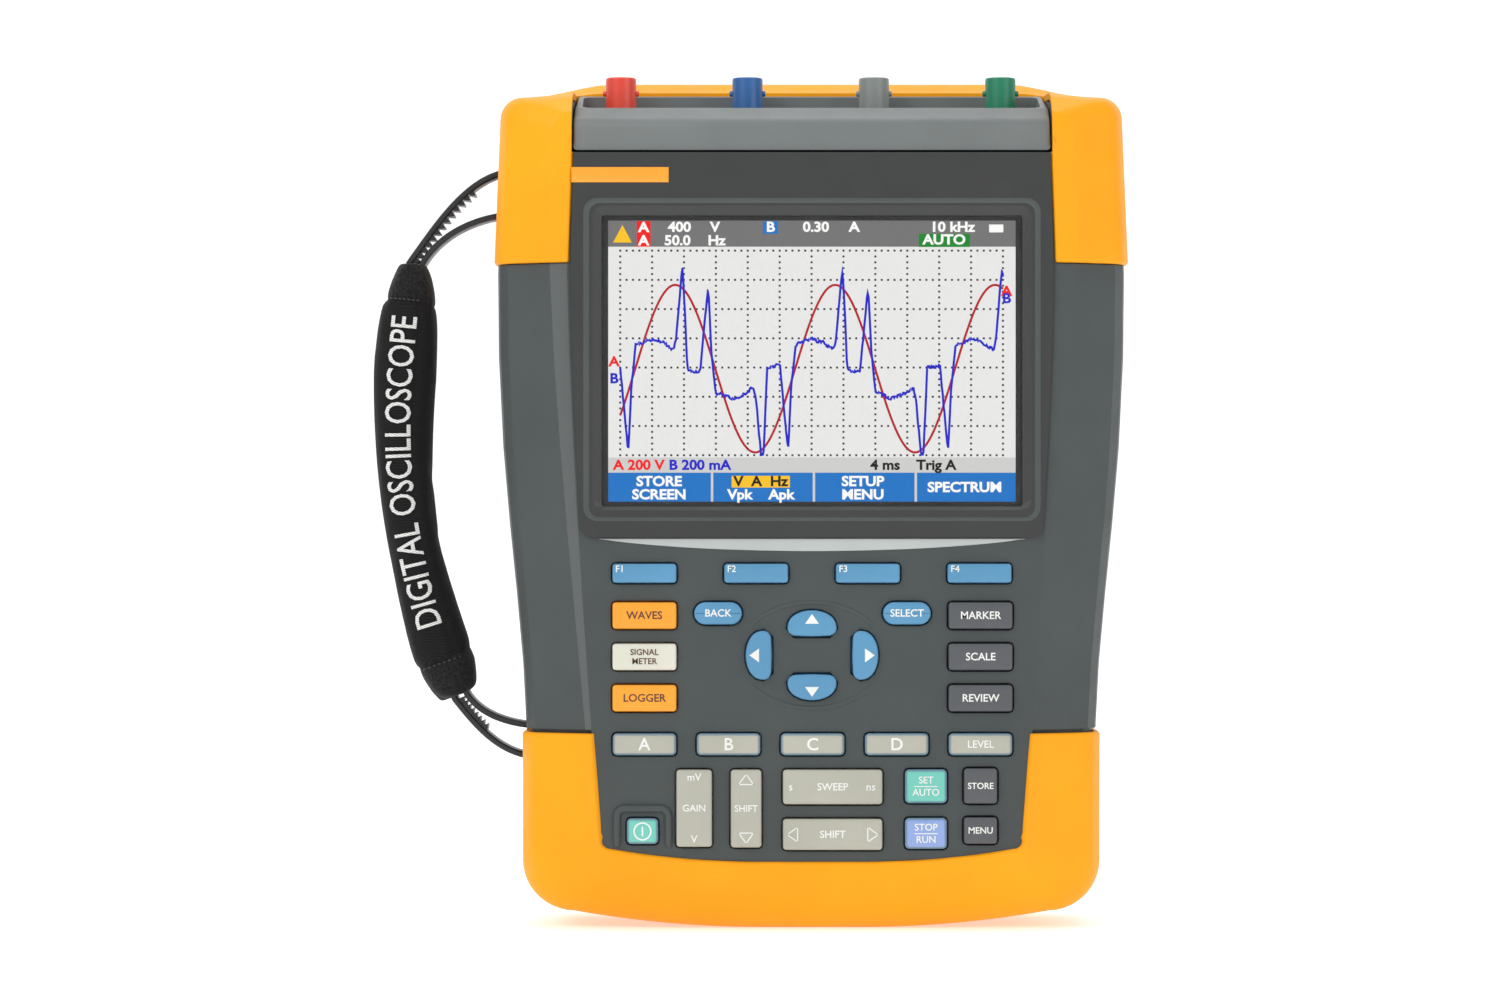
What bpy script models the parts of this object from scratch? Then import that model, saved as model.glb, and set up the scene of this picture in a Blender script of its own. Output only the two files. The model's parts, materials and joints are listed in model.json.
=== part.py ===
"""A portable four-channel oscilloscope with a 6-inch screen, as an assembly of separate parts.

The instrument stands upright: +Z is up, the screen faces -Y and +X is to the viewer's right.
The origin is the middle of the flat under the lower bumper. Lengths below are in millimetres
and become metres where a mesh is made.
"""

import math

import bmesh
import bpy
import numpy as np
from mathutils import Matrix, Vector

MM = 0.001
GAP = 0.3  # clearance between neighbouring pieces that do not move
WALL = 3.3  # wall of the two case halves
BUMPER_OUT = 1.2  # how far the bumpers stand proud of the case
BUMPER_IN = 1.3  # how deep the case is stepped under the bumpers

# The body: half widths of the silhouette and of the flat front panel, both narrowing downwards.
HALF_WIDTH = 98.4
SIDE_TAPER = 9.0
SIDE_TAPER_LENGTH = 150.0
SIDE_POWER = 1.25
WAIST = 204.5  # the widest height: the body narrows from here upwards and downwards
TOP_TAPER = 2.1
PANEL_HALF = 75.6
PANEL_TAPER = 10.5
PANEL_TAPER_LENGTH = 183.0
PANEL_POWER = 1.4
PANEL_TOP_TAPER = 1.1
FRONT = -33.0
REAR = 31.0
PARTING = -4.0
FLAT_FOOT = 16.0  # half width of the flat under the body
PANEL_BOW = 4.0
BOTTOM_BOW = 5.2
BOTTOM_RADIUS = 14.5
PANEL_RADIUS = 3.0
TOP_RADIUS = 7.0
SHOULDER_FROM = 64.0  # where the top edge starts to fall towards the shoulders
SIDE_LEVELS = (44, 63.5, 82, 104, 126, 150, 178, 204.5, 230)
FACET = "facet"
FACET_LOW, FACET_HIGH = 0.03, 0.26  # share of the facet beside the panel, at the foot and the waist

# Each section of the body: depth, share of the way from panel to silhouette, lowest and highest
# point, and how far the shoulders drop below the highest point.
SECTIONS = (
    (FRONT, 0.0, 21.5, 250.0, 1.5),
    (-31.6, FACET, 17.0, 254.5, 1.6),
    (-27.5, 0.55, 10.5, 257.5, 1.8),
    (-24.0, 0.84, 5.0, 259.2, 2.0),
    (-19.0, 0.96, 1.2, 260.4, 2.2),
    (-13.0, 1.0, 1.2, 261.2, 2.4),
    (12.0, 1.0, 1.2, 262.6, 2.8),
    (22.0, 0.97, 1.2, 266.0, 3.8),
    (27.5, 0.88, 4.5, 266.3, 4.2),
    (REAR, 0.70, 10.5, 262.5, 4.2),
)

# Bumpers
TOP_BUMPER_FROM = 207.3
BOTTOM_BUMPER_TO = 61.4
COLUMN_INNER = (75.8, 74.8)  # half width between the legs at their feet and at the roof
FOOT_PAD = (11.0, 7.0)  # width and height of a rear foot pad
FOOT_PAD_Y = 35.5
TOP_PADS = (83.5, 232.0)
BOTTOM_PADS = (74.0, 38.0)

# Input panel, with its recess for the four input sockets
INPUT_HALF = 74.0
INPUT_BOTTOM = 241.8
INPUT_FLOOR = 246.3
INPUT_REAR = 11.9
SOCKET_X = (-60.0, -20.0, 20.0, 60.0)
SOCKET_Y = -4.0
SOCKET_TOP = 267.0

# Screen
SCREEN_HALF = 65.2
SCREEN_LOW = 131.6
SCREEN_HIGH = 221.8
BEZEL_LOW = 121.9
BEZEL_HIGH = 241.2
BEZEL_FRONT = -34.4
BEZEL_MARGIN = 0.6  # between the bezel and the panel's edge
BEZEL_CORNER = 3.0
WINDOW_LAP = 1.0  # how far the window reaches behind the bezel
LCD_LAP = 0.6

# Keys: a cap through the panel on a flange behind it
KEY_TOP = -35.0
KEY_BACK = -27.4
KEY_FLANGE = -28.6
FLANGE_WIDTH = 1.1
ROCKER_AXIS = -31.3  # depth of the line a rocker key tips about
KEY_GAP = 0.55
KEY_RADIUS = 1.0
COLUMN_LEFT = -51.9
COLUMN_RIGHT = 52.2
ROWS_MODE = (97.8, 85.0, 72.2)
CURSOR_RING = (0.0, 85.5)
RING_REACH = (16.4, 9.8)
SOFT_KEY = (19.8, 5.9)
MODE_KEY = (19.8, 8.2)
PILL_KEY = (14.8, 6.9)
CHANNEL_KEY = (19.6, 6.7)
CURSOR_HALF = 7.6

# Hand strap: a sleeve around a looped band that passes round a bar at each end
PAD_PATH = ((-125.7, 208.5), (-129.7, 161.5), (-136.0, 135.0), (-111.3, 71.0))
PAD_SHARES = (0.0, 0.065, 0.14, 0.26, 0.4, 0.6, 0.74, 0.88, 0.935, 0.97, 1.0)
PAD_HALVES = (4.9, 7.7, 9.3, 9.8, 8.8, 8.1, 7.4, 8.8, 9.4, 8.2, 5.6)  # half width at those shares
PAD_HALF_DEPTH = 12.0
BAND_HALF_WIDTH = 6.0
BAND_THICKNESS = 1.6
BAND_RUN = 1.3
BAND_SPLAY = 1.6  # how much further the band's inner run leans out at the sleeve's ends
UPPER_BAR = (-92.5, 230.8)
LOWER_BAR = (-83.2, 57.3)
RUN_STEPS, STRAND_STEPS = 12, 8
BAR_RADIUS = 1.6
UPPER_LOOP = (4.4, 6.7)  # half depth and half height of the band's loop round a bar
LOWER_LOOP = (4.4, 4.8)
UPPER_MOUTH = 9.5
LOWER_MOUTH = 7.9
MOUTH_HALF_Y = 8.5
ANCHOR_WALL = 1.5
CUP_BEHIND = 7.2  # from a bar's middle to the back of its cup
CUP_FRONTS = (-95.4, -86.9)  # where the upper and the lower cup start

# Rear fittings
DOOR_HALF = 38.0
DOOR_Z = (26.0, 112.0)
DOOR_THICKNESS = 2.6
DOOR_GAP = 0.4
LOCK_X = 29.0
LOCK_Z = 103.0
LOCK_HEAD = (5.2, 2.0)  # radius and height
LOCK_SHANK = (2.7, 4.6)
LOCK_SLOT = (4.0, 0.7)  # half length and half width
STAND_HALF = 50.0
STAND_LOW = 119.0
STAND_THICKNESS = 3.1
STAND_WINDOW = (62.0, 34.0)
STAND_AXIS = (32.6, 190.0)
EAR_X = (52.5, 57.5)  # the stand's hinge ears on the rear case, from the middle
KNUCKLE_RADIUS = 2.6
PIN_RADIUS = 1.5
PIN_LENGTH = 114.0
TURN_GAP = 0.15  # clearance round a pin that a piece turns on
SCREWS = ((-80.0, 195.0), (80.0, 195.0), (-74.0, 76.0), (74.0, 76.0))
SCREW_HEAD = (2.7, 1.5)
SCREW_SHANK = (1.4, 43.6)
SCREW_WELL = 3.1
BOSS_RADIUS = 3.8
THREAD_RADIUS = 1.7
PORT_Y = (1.0, 13.0)
PORT_Z = (118.0, 160.0)
PORT_BLOCK = ((78.0, 0.6, 116.5), (88.8, 13.6, 161.5))
COVER_THICKNESS = 2.0

# Inside the case: lowest and highest corners
KEYMAT = ((-64.0, -25.2, 27.0), (64.0, -23.8, 118.5))
MAIN_BOARD = ((-68.0, -22.0, 24.0), (68.0, -20.4, 234.0))
BATTERY = ((-35.0, 3.0, 30.0), (35.0, 25.5, 98.0))


def clear_scene():
    for obj in list(bpy.data.objects):
        bpy.data.objects.remove(obj)


def collection(name, shown=True):
    made = bpy.data.collections.new(name)
    bpy.context.scene.collection.children.link(made)
    made.hide_render = not shown
    return made


def material(name, colour, roughness, metallic=0.0):
    made = bpy.data.materials.new(name)
    made.use_nodes = True
    shader = made.node_tree.nodes["Principled BSDF"]
    shader.inputs["Base Color"].default_value = (*colour, 1.0)
    shader.inputs["Roughness"].default_value = roughness
    shader.inputs["Metallic"].default_value = metallic
    return made


clear_scene()
PARTS = collection("portable_oscilloscope")
CUTTERS = collection("cutters", shown=False)
CASE_GREY = material("case_grey", (0.085, 0.095, 0.095), 0.55)
BUMPER_YELLOW = material("bumper_yellow", (0.95, 0.42, 0.02), 0.5)
BEZEL_DARK = material("bezel_charcoal", (0.055, 0.06, 0.058), 0.35)
CLEAR = material("window_clear", (0.8, 0.85, 0.85), 0.05)
SCREEN = material("screen", (0.75, 0.76, 0.75), 0.3)
KEY_BLUE = material("key_blue", (0.10, 0.33, 0.58), 0.45)
KEY_ORANGE = material("key_orange", (0.95, 0.36, 0.03), 0.5)
KEY_IVORY = material("key_ivory", (0.68, 0.67, 0.56), 0.5)
KEY_DARK = material("key_dark", (0.10, 0.11, 0.12), 0.45)
KEY_STONE = material("key_stone", (0.46, 0.45, 0.36), 0.5)
KEY_GREEN = material("key_green", (0.12, 0.52, 0.42), 0.45)
KEY_LILAC = material("key_lilac", (0.33, 0.45, 0.72), 0.45)
RUBBER = material("black_rubber", (0.02, 0.02, 0.02), 0.7)
FABRIC = material("black_fabric", (0.012, 0.012, 0.014), 0.9)
BOARD = material("circuit_board", (0.02, 0.16, 0.06), 0.5)
STEEL = material("steel", (0.6, 0.6, 0.6), 0.3, 1.0)
INPUT_RED = material("input_red", (0.78, 0.07, 0.04), 0.45)
INPUT_BLUE = material("input_blue", (0.03, 0.17, 0.42), 0.45)
INPUT_GREY = material("input_grey", (0.30, 0.33, 0.32), 0.45)
INPUT_GREEN = material("input_green", (0.0, 0.27, 0.13), 0.45)


def clamp(value):
    return min(1.0, max(0.0, value))


def silhouette_half(z):
    """Half width of the whole body: a soft S curve below the waist, a slight lean above it."""
    share = clamp((WAIST - z) / SIDE_TAPER_LENGTH) ** SIDE_POWER
    below = SIDE_TAPER * (1 - math.cos(math.pi * share)) / 2
    return HALF_WIDTH - below - TOP_TAPER * clamp((z - WAIST) / 50.0)


def panel_half(z):
    """Half width of the flat front panel."""
    below = PANEL_TAPER * clamp((WAIST - z) / PANEL_TAPER_LENGTH) ** PANEL_POWER
    return PANEL_HALF - below - PANEL_TOP_TAPER * clamp((z - WAIST) / 35.0)


def half_at(z, share):
    """Half width at a height, a share of the way out from the panel's edge to the silhouette."""
    if share == FACET:
        share = FACET_LOW + (FACET_HIGH - FACET_LOW) * clamp(z / WAIST)
    return panel_half(z) + (silhouette_half(z) - panel_half(z)) * share


def half_outline(section, grow):
    """The right half of a body section as (x, z), from the middle of the bottom to the top."""
    _, share, low, high, drop = section
    reach = 0.2 if share == FACET else share
    radius = max(0.5, PANEL_RADIUS + (BOTTOM_RADIUS - PANEL_RADIUS) * reach + grow)
    low, high = low - grow, high + grow
    side = half_at(low + radius, share) + grow
    corner = side - radius
    bow = PANEL_BOW + (BOTTOM_BOW - PANEL_BOW) * reach
    points = [(FLAT_FOOT, low)]
    for step in (0.45, 0.75):
        x = FLAT_FOOT + (corner - FLAT_FOOT) * step
        points.append((x, low + bow * step**2))
    centre = low + bow + radius
    for step in range(5):
        angle = math.radians(-90 + 90 * step / 5)
        points.append((corner + radius * math.cos(angle), centre + radius * math.sin(angle)))
    points += [(half_at(z, share) + grow, z) for z in SIDE_LEVELS]
    top_side = half_at(high, share) + grow
    top_corner = top_side - TOP_RADIUS
    for step in range(4):
        angle = math.radians(30 * step)
        z = high - drop + TOP_RADIUS * (math.sin(angle) - 1)
        points.append((top_corner + TOP_RADIUS * math.cos(angle), z))
    for share_in in (0.6, 0.3, 0.0):
        fall = share_in**2 * (3 - 2 * share_in)
        points.append((SHOULDER_FROM + (top_corner - SHOULDER_FROM) * share_in, high - drop * fall))
    return points


def ring_of(section, grow):
    y = section[0] * (1 + grow / abs(FRONT))
    right = half_outline(section, grow)
    left = [(-x, z) for x, z in reversed(right)]
    return [Vector((x, y, z)) for x, z in right + left]


def section_at(y):
    """A body section at any depth, between its two neighbours in the table."""
    for low, high in zip(SECTIONS, SECTIONS[1:]):
        if low[0] <= y <= high[0] and FACET not in (low[1], high[1]):
            share = (y - low[0]) / (high[0] - low[0])
            return tuple(a + (b - a) * share for a, b in zip(low, high))
    raise ValueError(f"no section at {y}")


def weld(mesh):
    bm = bmesh.new()
    bm.from_mesh(mesh)
    bmesh.ops.remove_doubles(bm, verts=bm.verts, dist=0.001 * MM)
    bmesh.ops.recalc_face_normals(bm, faces=bm.faces)
    bm.to_mesh(mesh)
    bm.free()


def dress(name, mesh, look, where):
    """An object with its material and smooth shading, or a hidden cutter."""
    made = bpy.data.objects.new(name, mesh)
    where.objects.link(made)
    mesh.shade_smooth()
    mesh.set_sharp_from_angle(angle=math.radians(30))
    if look:
        mesh.materials.append(look)
    if where is not PARTS:
        made.hide_render = True
        made.display_type = "WIRE"
    return made


def new_object(name, bm, look, where=PARTS):
    bmesh.ops.recalc_face_normals(bm, faces=bm.faces)
    bmesh.ops.scale(bm, vec=(MM, MM, MM), verts=bm.verts)
    mesh = bpy.data.meshes.new(name)
    bm.to_mesh(mesh)
    bm.free()
    return dress(name, mesh, look, where)


def pivot(made, x, y, z):
    """Puts an object's origin at a point, such as its joint's axis, and leaves its shape in place."""
    point = Vector((x, y, z)) * MM
    bpy.context.view_layer.update()
    made.data.transform(Matrix.Translation(-point) @ made.matrix_world)
    made.matrix_world = Matrix.Translation(point)
    return made


def loft(name, rings, look=None, where=PARTS, closed=False):
    """A skin over rings of equal length, capped at both ends, or joined end to end."""
    bm = bmesh.new()
    loops = [[bm.verts.new(p) for p in ring] for ring in rings]
    count = len(rings[0])
    pairs = list(zip(loops, loops[1:]))
    if closed:
        pairs.append((loops[-1], loops[0]))
    for first, second in pairs:
        for i in range(count):
            j = (i + 1) % count
            bm.faces.new((first[i], first[j], second[j], second[i]))
    if not closed:
        bm.faces.new(loops[0])
        bm.faces.new(loops[-1])
    return new_object(name, bm, look, where)


def prism(name, outline, y_from, y_to, look=None, where=PARTS):
    """A flat outline of (x, z) points, filled and extruded in depth."""
    curve = bpy.data.curves.new(name, "CURVE")
    curve.dimensions = "2D"
    curve.fill_mode = "BOTH"
    curve.extrude = (y_to - y_from) / 2 * MM
    spline = curve.splines.new("POLY")
    spline.points.add(len(outline) - 1)
    for point, (x, z) in zip(spline.points, outline):
        point.co = (x * MM, z * MM, 0, 1)
    spline.use_cyclic_u = True
    flat = bpy.data.objects.new(name + "_outline", curve)
    flat.location.y = (y_from + y_to) / 2 * MM
    flat.rotation_euler.x = math.pi / 2
    where.objects.link(flat)
    bpy.context.view_layer.update()
    graph = bpy.context.evaluated_depsgraph_get()
    mesh = bpy.data.meshes.new_from_object(flat.evaluated_get(graph))
    weld(mesh)
    made = dress(name, mesh, look, where)
    made.matrix_world = flat.matrix_world.copy()
    bpy.data.objects.remove(flat)
    bpy.data.curves.remove(curve)
    return made


def box(name, low, high, look=None, where=PARTS, bevel=0.0):
    bm = bmesh.new()
    bmesh.ops.create_cube(bm, size=1.0)
    low, high = Vector(low), Vector(high)
    bmesh.ops.scale(bm, vec=high - low, verts=bm.verts)
    bmesh.ops.translate(bm, vec=(low + high) / 2, verts=bm.verts)
    made = new_object(name, bm, look, where)
    if bevel:
        edge = made.modifiers.new("edges", "BEVEL")
        edge.width = bevel * MM
        edge.segments = 1
    return made


def cylinder(name, centre, axis, radius, length, sides=16, look=None, where=PARTS):
    """A cylinder whose middle is at centre and which runs along X, Y or Z."""
    turn = {"X": Matrix.Rotation(math.pi / 2, 3, "Y"), "Y": Matrix.Rotation(math.pi / 2, 3, "X")}
    bm = bmesh.new()
    bmesh.ops.create_cone(
        bm, cap_ends=True, segments=sides, radius1=radius, radius2=radius, depth=length
    )
    if axis in turn:
        bmesh.ops.rotate(bm, matrix=turn[axis], verts=bm.verts)
    bmesh.ops.translate(bm, vec=centre, verts=bm.verts)
    return new_object(name, bm, look, where)


def boolean(target, other, operation="DIFFERENCE"):
    """other stays in the cutters' collection, out of the render."""
    step = target.modifiers.new(f"{operation.lower()}_{other.name}", "BOOLEAN")
    step.operation = operation
    step.solver = "EXACT"
    step.object = other
    return target


def rounded_rectangle(centre, size, radius, steps=2):
    """Corners of (x, z), counter-clockwise from the lower right corner."""
    points = []
    for side_x, side_z, start in ((1, -1, -90), (1, 1, 0), (-1, 1, 90), (-1, -1, 180)):
        for step in range(steps + 1):
            angle = math.radians(start + 90 * step / steps)
            x = centre[0] + side_x * (size[0] / 2 - radius) + radius * math.cos(angle)
            z = centre[1] + side_z * (size[1] / 2 - radius) + radius * math.sin(angle)
            points.append((x, z))
    return points


def body(name, grow, y_from=FRONT, y_to=REAR, over_from=0.0, over_to=0.0, look=None):
    """The body's outer form, grown by some millimetres: a cutter, or a part where a look is given.

    over_from and over_to push an end ring out in depth, so that a cut passes its end."""
    rings = [s for s in SECTIONS if y_from <= s[0] <= y_to]
    if rings[0][0] != y_from:
        rings.insert(0, section_at(y_from))
    if rings[-1][0] != y_to:
        rings.append(section_at(y_to))
    made = [ring_of(s, grow) for s in rings]
    made[0] = [p - Vector((0, over_from, 0)) for p in made[0]]
    made[-1] = [p + Vector((0, over_to, 0)) for p in made[-1]]
    return loft(name, made, look, PARTS if look else CUTTERS)


def panel_edge(low_to, grow):
    """The panel's outline below a height, as (x, z) from its right side round to its left."""
    points = [(x, z) for x, z in half_outline(SECTIONS[0], grow) if z < low_to - 1]
    points.append((panel_half(low_to) + grow, low_to))
    return list(reversed(points)) + [(-x, z) for x, z in points]


def bottom_zone(name, top, gap):
    """Everything below a height but outside the front panel's outline."""
    far = HALF_WIDTH + 20
    outline = [(-far, -20), (far, -20), (far, top)] + panel_edge(top, gap) + [(-far, top)]
    return prism(name, outline, FRONT - 10, REAR + 15, where=CUTTERS)


def top_zone(name, low, gap):
    """Everything above a height but outside the screen's column."""
    far = HALF_WIDTH + 20
    foot, head = (half + gap for half in COLUMN_INNER)
    roof = INPUT_BOTTOM + gap
    foot += (foot - head) * (TOP_BUMPER_FROM - low) / (roof - TOP_BUMPER_FROM)
    outline = [
        (-far, low),
        (-foot, low),
        (-head, roof),
        (head, roof),
        (foot, low),
        (far, low),
        (far, 290),
        (-far, 290),
    ]
    return prism(name, outline, FRONT - 10, REAR + 15, where=CUTTERS)


def input_opening(name, gap):
    """The room for the input panel, open to the front and upwards."""
    return box(
        name,
        (-INPUT_HALF - gap, FRONT - 10, INPUT_BOTTOM - gap),
        (INPUT_HALF + gap, INPUT_REAR + gap, 290),
        where=CUTTERS,
    )


def strap_mouth(name, bar, half_z, grow):
    x = bar[0]
    low = (x - 30, -MOUTH_HALF_Y - grow, bar[1] - half_z - grow)
    high = (x + 9.5, MOUTH_HALF_Y + grow, bar[1] + half_z + grow)
    return box(name, low, high, where=CUTTERS)


def port_opening(name, gap):
    return box(
        name,
        (HALF_WIDTH - 14, PORT_Y[0] - gap, PORT_Z[0] - gap),
        (HALF_WIDTH + 10, PORT_Y[1] + gap, PORT_Z[1] + gap),
        where=CUTTERS,
    )


def step_under_bumpers(case):
    """Cuts the case back where a bumper lies on it."""
    inner = body("case_under_bumpers", -BUMPER_IN)
    for zone in (
        top_zone("step_top", TOP_BUMPER_FROM - GAP, -0.15),
        bottom_zone("step_bottom", BOTTOM_BUMPER_TO + 0.9, 0.15),
    ):
        boolean(zone, inner)
        boolean(case, zone)


def key_list():
    """name, centre, size, kind, colour. kind is push, rocker_z (rocks up and down) or rocker_x."""
    keys = []
    for i, x in enumerate((COLUMN_LEFT, -17.3, 17.3, -COLUMN_LEFT), 1):
        keys.append((f"key_f{i}", (x, 110.9), SOFT_KEY, "push", KEY_BLUE))
    left = (("key_scope", KEY_ORANGE), ("key_meter", KEY_IVORY), ("key_recorder", KEY_ORANGE))
    for z, (name, look) in zip(ROWS_MODE, left):
        keys.append((name, (COLUMN_LEFT, z), MODE_KEY, "push", look))
    for z, name in zip(ROWS_MODE, ("key_cursor", "key_zoom", "key_replay")):
        keys.append((name, (COLUMN_RIGHT, z), MODE_KEY, "push", KEY_DARK))
    for x, name in ((-29.1, "key_clear"), (29.4, "key_enter")):
        keys.append((name, (x, 98.5), PILL_KEY, "push", KEY_BLUE))
    for name, side_x, side_z in (
        ("key_up", 0, 1),
        ("key_down", 0, -1),
        ("key_left", -1, 0),
        ("key_right", 1, 0),
    ):
        x = CURSOR_RING[0] + side_x * RING_REACH[0]
        z = CURSOR_RING[1] + side_z * RING_REACH[1]
        keys.append((name, (x, z), (side_x, side_z), "cursor", KEY_BLUE))
    for i, letter in enumerate("abcd"):
        x = COLUMN_LEFT + 26.05 * i
        keys.append((f"key_channel_{letter}", (x, 57.9), CHANNEL_KEY, "push", KEY_STONE))
    keys.append(("key_trigger", (COLUMN_RIGHT, 57.9), CHANNEL_KEY, "push", KEY_STONE))
    keys.append(("key_range", (-36.5, 38.1), (11.0, 23.9), "rocker_z", KEY_STONE))
    keys.append(("key_move_vertical", (-20.4, 38.0), (9.5, 24.1), "rocker_z", KEY_STONE))
    keys.append(("key_time", (6.4, 44.7), (30.8, 10.7), "rocker_x", KEY_STONE))
    keys.append(("key_move_horizontal", (6.4, 30.0), (30.8, 9.6), "rocker_x", KEY_STONE))
    keys.append(("key_auto", (35.3, 44.9), (12.9, 10.4), "push", KEY_GREEN))
    keys.append(("key_run", (35.3, 30.3), (12.9, 9.5), "push", KEY_LILAC))
    keys.append(("key_save", (COLUMN_RIGHT, 45.0), (10.3, 10.9), "push", KEY_DARK))
    keys.append(("key_user", (COLUMN_RIGHT, 31.2), (10.3, 8.2), "push", KEY_DARK))
    keys.append(("key_power", (-52.5, 31.0), (9.6, 7.9), "push", KEY_GREEN))
    return keys


def cursor_outline(centre, facing, grow):
    """A cursor key: an arch away from the ring's middle, with a nearly straight inner edge."""
    half_long = CURSOR_HALF + grow
    points = []
    for step in range(9):
        angle = math.pi * step / 8
        out = -1.5 + (5.6 + grow) * math.sin(angle) ** 0.85 if 0 < step < 8 else -1.5
        points.append((half_long * math.cos(angle), out))
    points += [(-half_long * 0.7, -4.0 - grow), (half_long * 0.7, -4.0 - grow)]
    turned = []
    for along, out in points:
        if facing[0]:
            turned.append((centre[0] + out * facing[0], centre[1] - along * facing[0]))
        else:
            turned.append((centre[0] + along * facing[1], centre[1] + out * facing[1]))
    return turned


def key_outline(centre, size, kind, grow):
    if kind == "cursor":
        return cursor_outline(centre, size, grow)
    pill = size == PILL_KEY
    radius = (size[1] / 2 - 0.01 if pill else KEY_RADIUS) + grow
    full = (size[0] + 2 * grow, size[1] + 2 * grow)
    return rounded_rectangle(centre, full, max(radius, 0.3), 4 if pill else 2)


def key(name, centre, size, kind, look):
    """A cap with an eased top edge, and the flange that keeps it behind the panel."""
    rings = []
    for y, grow in (
        (KEY_TOP, -0.5),
        (KEY_TOP + 0.5, 0.0),
        (KEY_FLANGE, 0.0),
        (KEY_FLANGE, FLANGE_WIDTH),
        (KEY_BACK, FLANGE_WIDTH),
    ):
        rings.append([Vector((x, y, z)) for x, z in key_outline(centre, size, kind, grow)])
    return loft(name, rings, look)


def key_hole(name, centre, size, kind):
    outline = key_outline(centre, size, kind, KEY_GAP)
    return prism("hole_" + name, outline, FRONT - 3, FRONT + WALL + 1, where=KEY_HOLES)


KEY_HOLES = bpy.data.collections.new("key_holes")
CUTTERS.children.link(KEY_HOLES)


def boss(name, place, y_from, y_to):
    centre = (place[0], (y_from + y_to) / 2, place[1])
    return cylinder(name, centre, "Y", BOSS_RADIUS, y_to - y_from, 12, where=CUTTERS)


def front_case():
    case = body("front_case", 0.0, y_to=PARTING - GAP / 2, look=CASE_GREY)
    boolean(case, body("front_cavity", -WALL, y_to=PARTING - GAP / 2, over_to=2.0))
    step_under_bumpers(case)
    for i, place in enumerate(SCREWS):
        boolean(case, boss(f"front_boss_{i}", place, -28.8, PARTING - GAP / 2 - 0.1), "UNION")
        centre = (place[0], -9, place[1])
        hole = cylinder(f"front_thread_{i}", centre, "Y", THREAD_RADIUS, 20, 12, where=CUTTERS)
        boolean(case, hole)
    screen = rounded_rectangle(
        (0, (SCREEN_LOW + SCREEN_HIGH) / 2), (2 * SCREEN_HALF + 3, SCREEN_HIGH - SCREEN_LOW + 3), 1.0
    )
    boolean(case, prism("screen_opening", screen, FRONT - 3, FRONT + WALL + 1, where=CUTTERS))
    for key_data in key_list():
        key_hole(*key_data[:4])
    holes = case.modifiers.new("key_holes", "BOOLEAN")
    holes.operation = "DIFFERENCE"
    holes.solver = "EXACT"
    holes.operand_type = "COLLECTION"
    holes.collection = KEY_HOLES
    boolean(case, input_opening("input_room_front", GAP))
    boolean(case, strap_mouth("upper_mouth_front", UPPER_BAR, UPPER_MOUTH, ANCHOR_WALL + GAP))
    boolean(case, strap_mouth("lower_mouth_front", LOWER_BAR, LOWER_MOUTH, ANCHOR_WALL + GAP))
    return case


def rear_case():
    case = body("rear_case", 0.0, y_from=PARTING + GAP / 2, look=CASE_GREY)
    boolean(case, body("rear_cavity", -WALL, y_from=PARTING + GAP / 2, over_from=2.0))
    step_under_bumpers(case)
    for i, place in enumerate(SCREWS):
        boolean(case, boss(f"rear_boss_{i}", place, PARTING + GAP / 2 + 0.1, REAR - 1), "UNION")
        centre = (place[0], 12, place[1])
        hole = cylinder(f"rear_bore_{i}", centre, "Y", THREAD_RADIUS, 60, 12, where=CUTTERS)
        boolean(case, hole)
        centre = (place[0], 33, place[1])
        sink = cylinder(f"rear_sink_{i}", centre, "Y", SCREW_WELL, 8, 12, where=CUTTERS)
        boolean(case, sink)
    low = (-DOOR_HALF - DOOR_GAP, REAR - WALL - 2, DOOR_Z[0] - DOOR_GAP)
    high = (DOOR_HALF + DOOR_GAP, REAR + 3, DOOR_Z[1] + DOOR_GAP)
    boolean(case, box("door_opening", low, high, where=CUTTERS))
    y, z = STAND_AXIS
    for side in (-1, 1):
        inner, outer = sorted(side * x for x in EAR_X)
        low, high = (inner, REAR - 2.0, z - 3.4), (outer, y + 3.0, z + 3.4)
        boolean(case, box(f"stand_ear_{side}", low, high, where=CUTTERS), "UNION")
    groove = box("stand_groove", (-52.0, 29.4, z - 4.2), (52.0, 40, z + 4.2), where=CUTTERS)
    boolean(case, groove)
    bore = cylinder("stand_pin_bore", (0, y, z), "X", PIN_RADIUS + TURN_GAP, 130, where=CUTTERS)
    boolean(case, bore)
    boolean(case, input_opening("input_room_rear", GAP))
    boolean(case, strap_mouth("upper_mouth_rear", UPPER_BAR, UPPER_MOUTH, ANCHOR_WALL + GAP))
    boolean(case, strap_mouth("lower_mouth_rear", LOWER_BAR, LOWER_MOUTH, ANCHOR_WALL + GAP))
    boolean(case, port_opening("port_room", GAP))
    return case


def bumper(name, zone, bars, pads):
    """A rubber bumper: the skin between the stepped case and the grown body, inside a zone."""
    made = body(name, BUMPER_OUT, look=BUMPER_YELLOW)
    boolean(made, zone, "INTERSECT")
    for side in (-1, 1):
        width, height = FOOT_PAD
        low = (side * pads[0] - width / 2, REAR - 1, pads[1] - height / 2)
        high = (side * pads[0] + width / 2, FOOT_PAD_Y, pads[1] + height / 2)
        pad = box(f"{name}_pad_{side}", low, high, where=CUTTERS, bevel=0.8)
        boolean(made, pad, "UNION")
    boolean(made, body(name + "_bed", GAP - BUMPER_IN))
    boolean(made, input_opening(name + "_input_room", GAP + 0.3))
    for bar, half in bars:
        boolean(made, strap_mouth(name + "_mouth", bar, half, 0.0))
    return made


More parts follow.
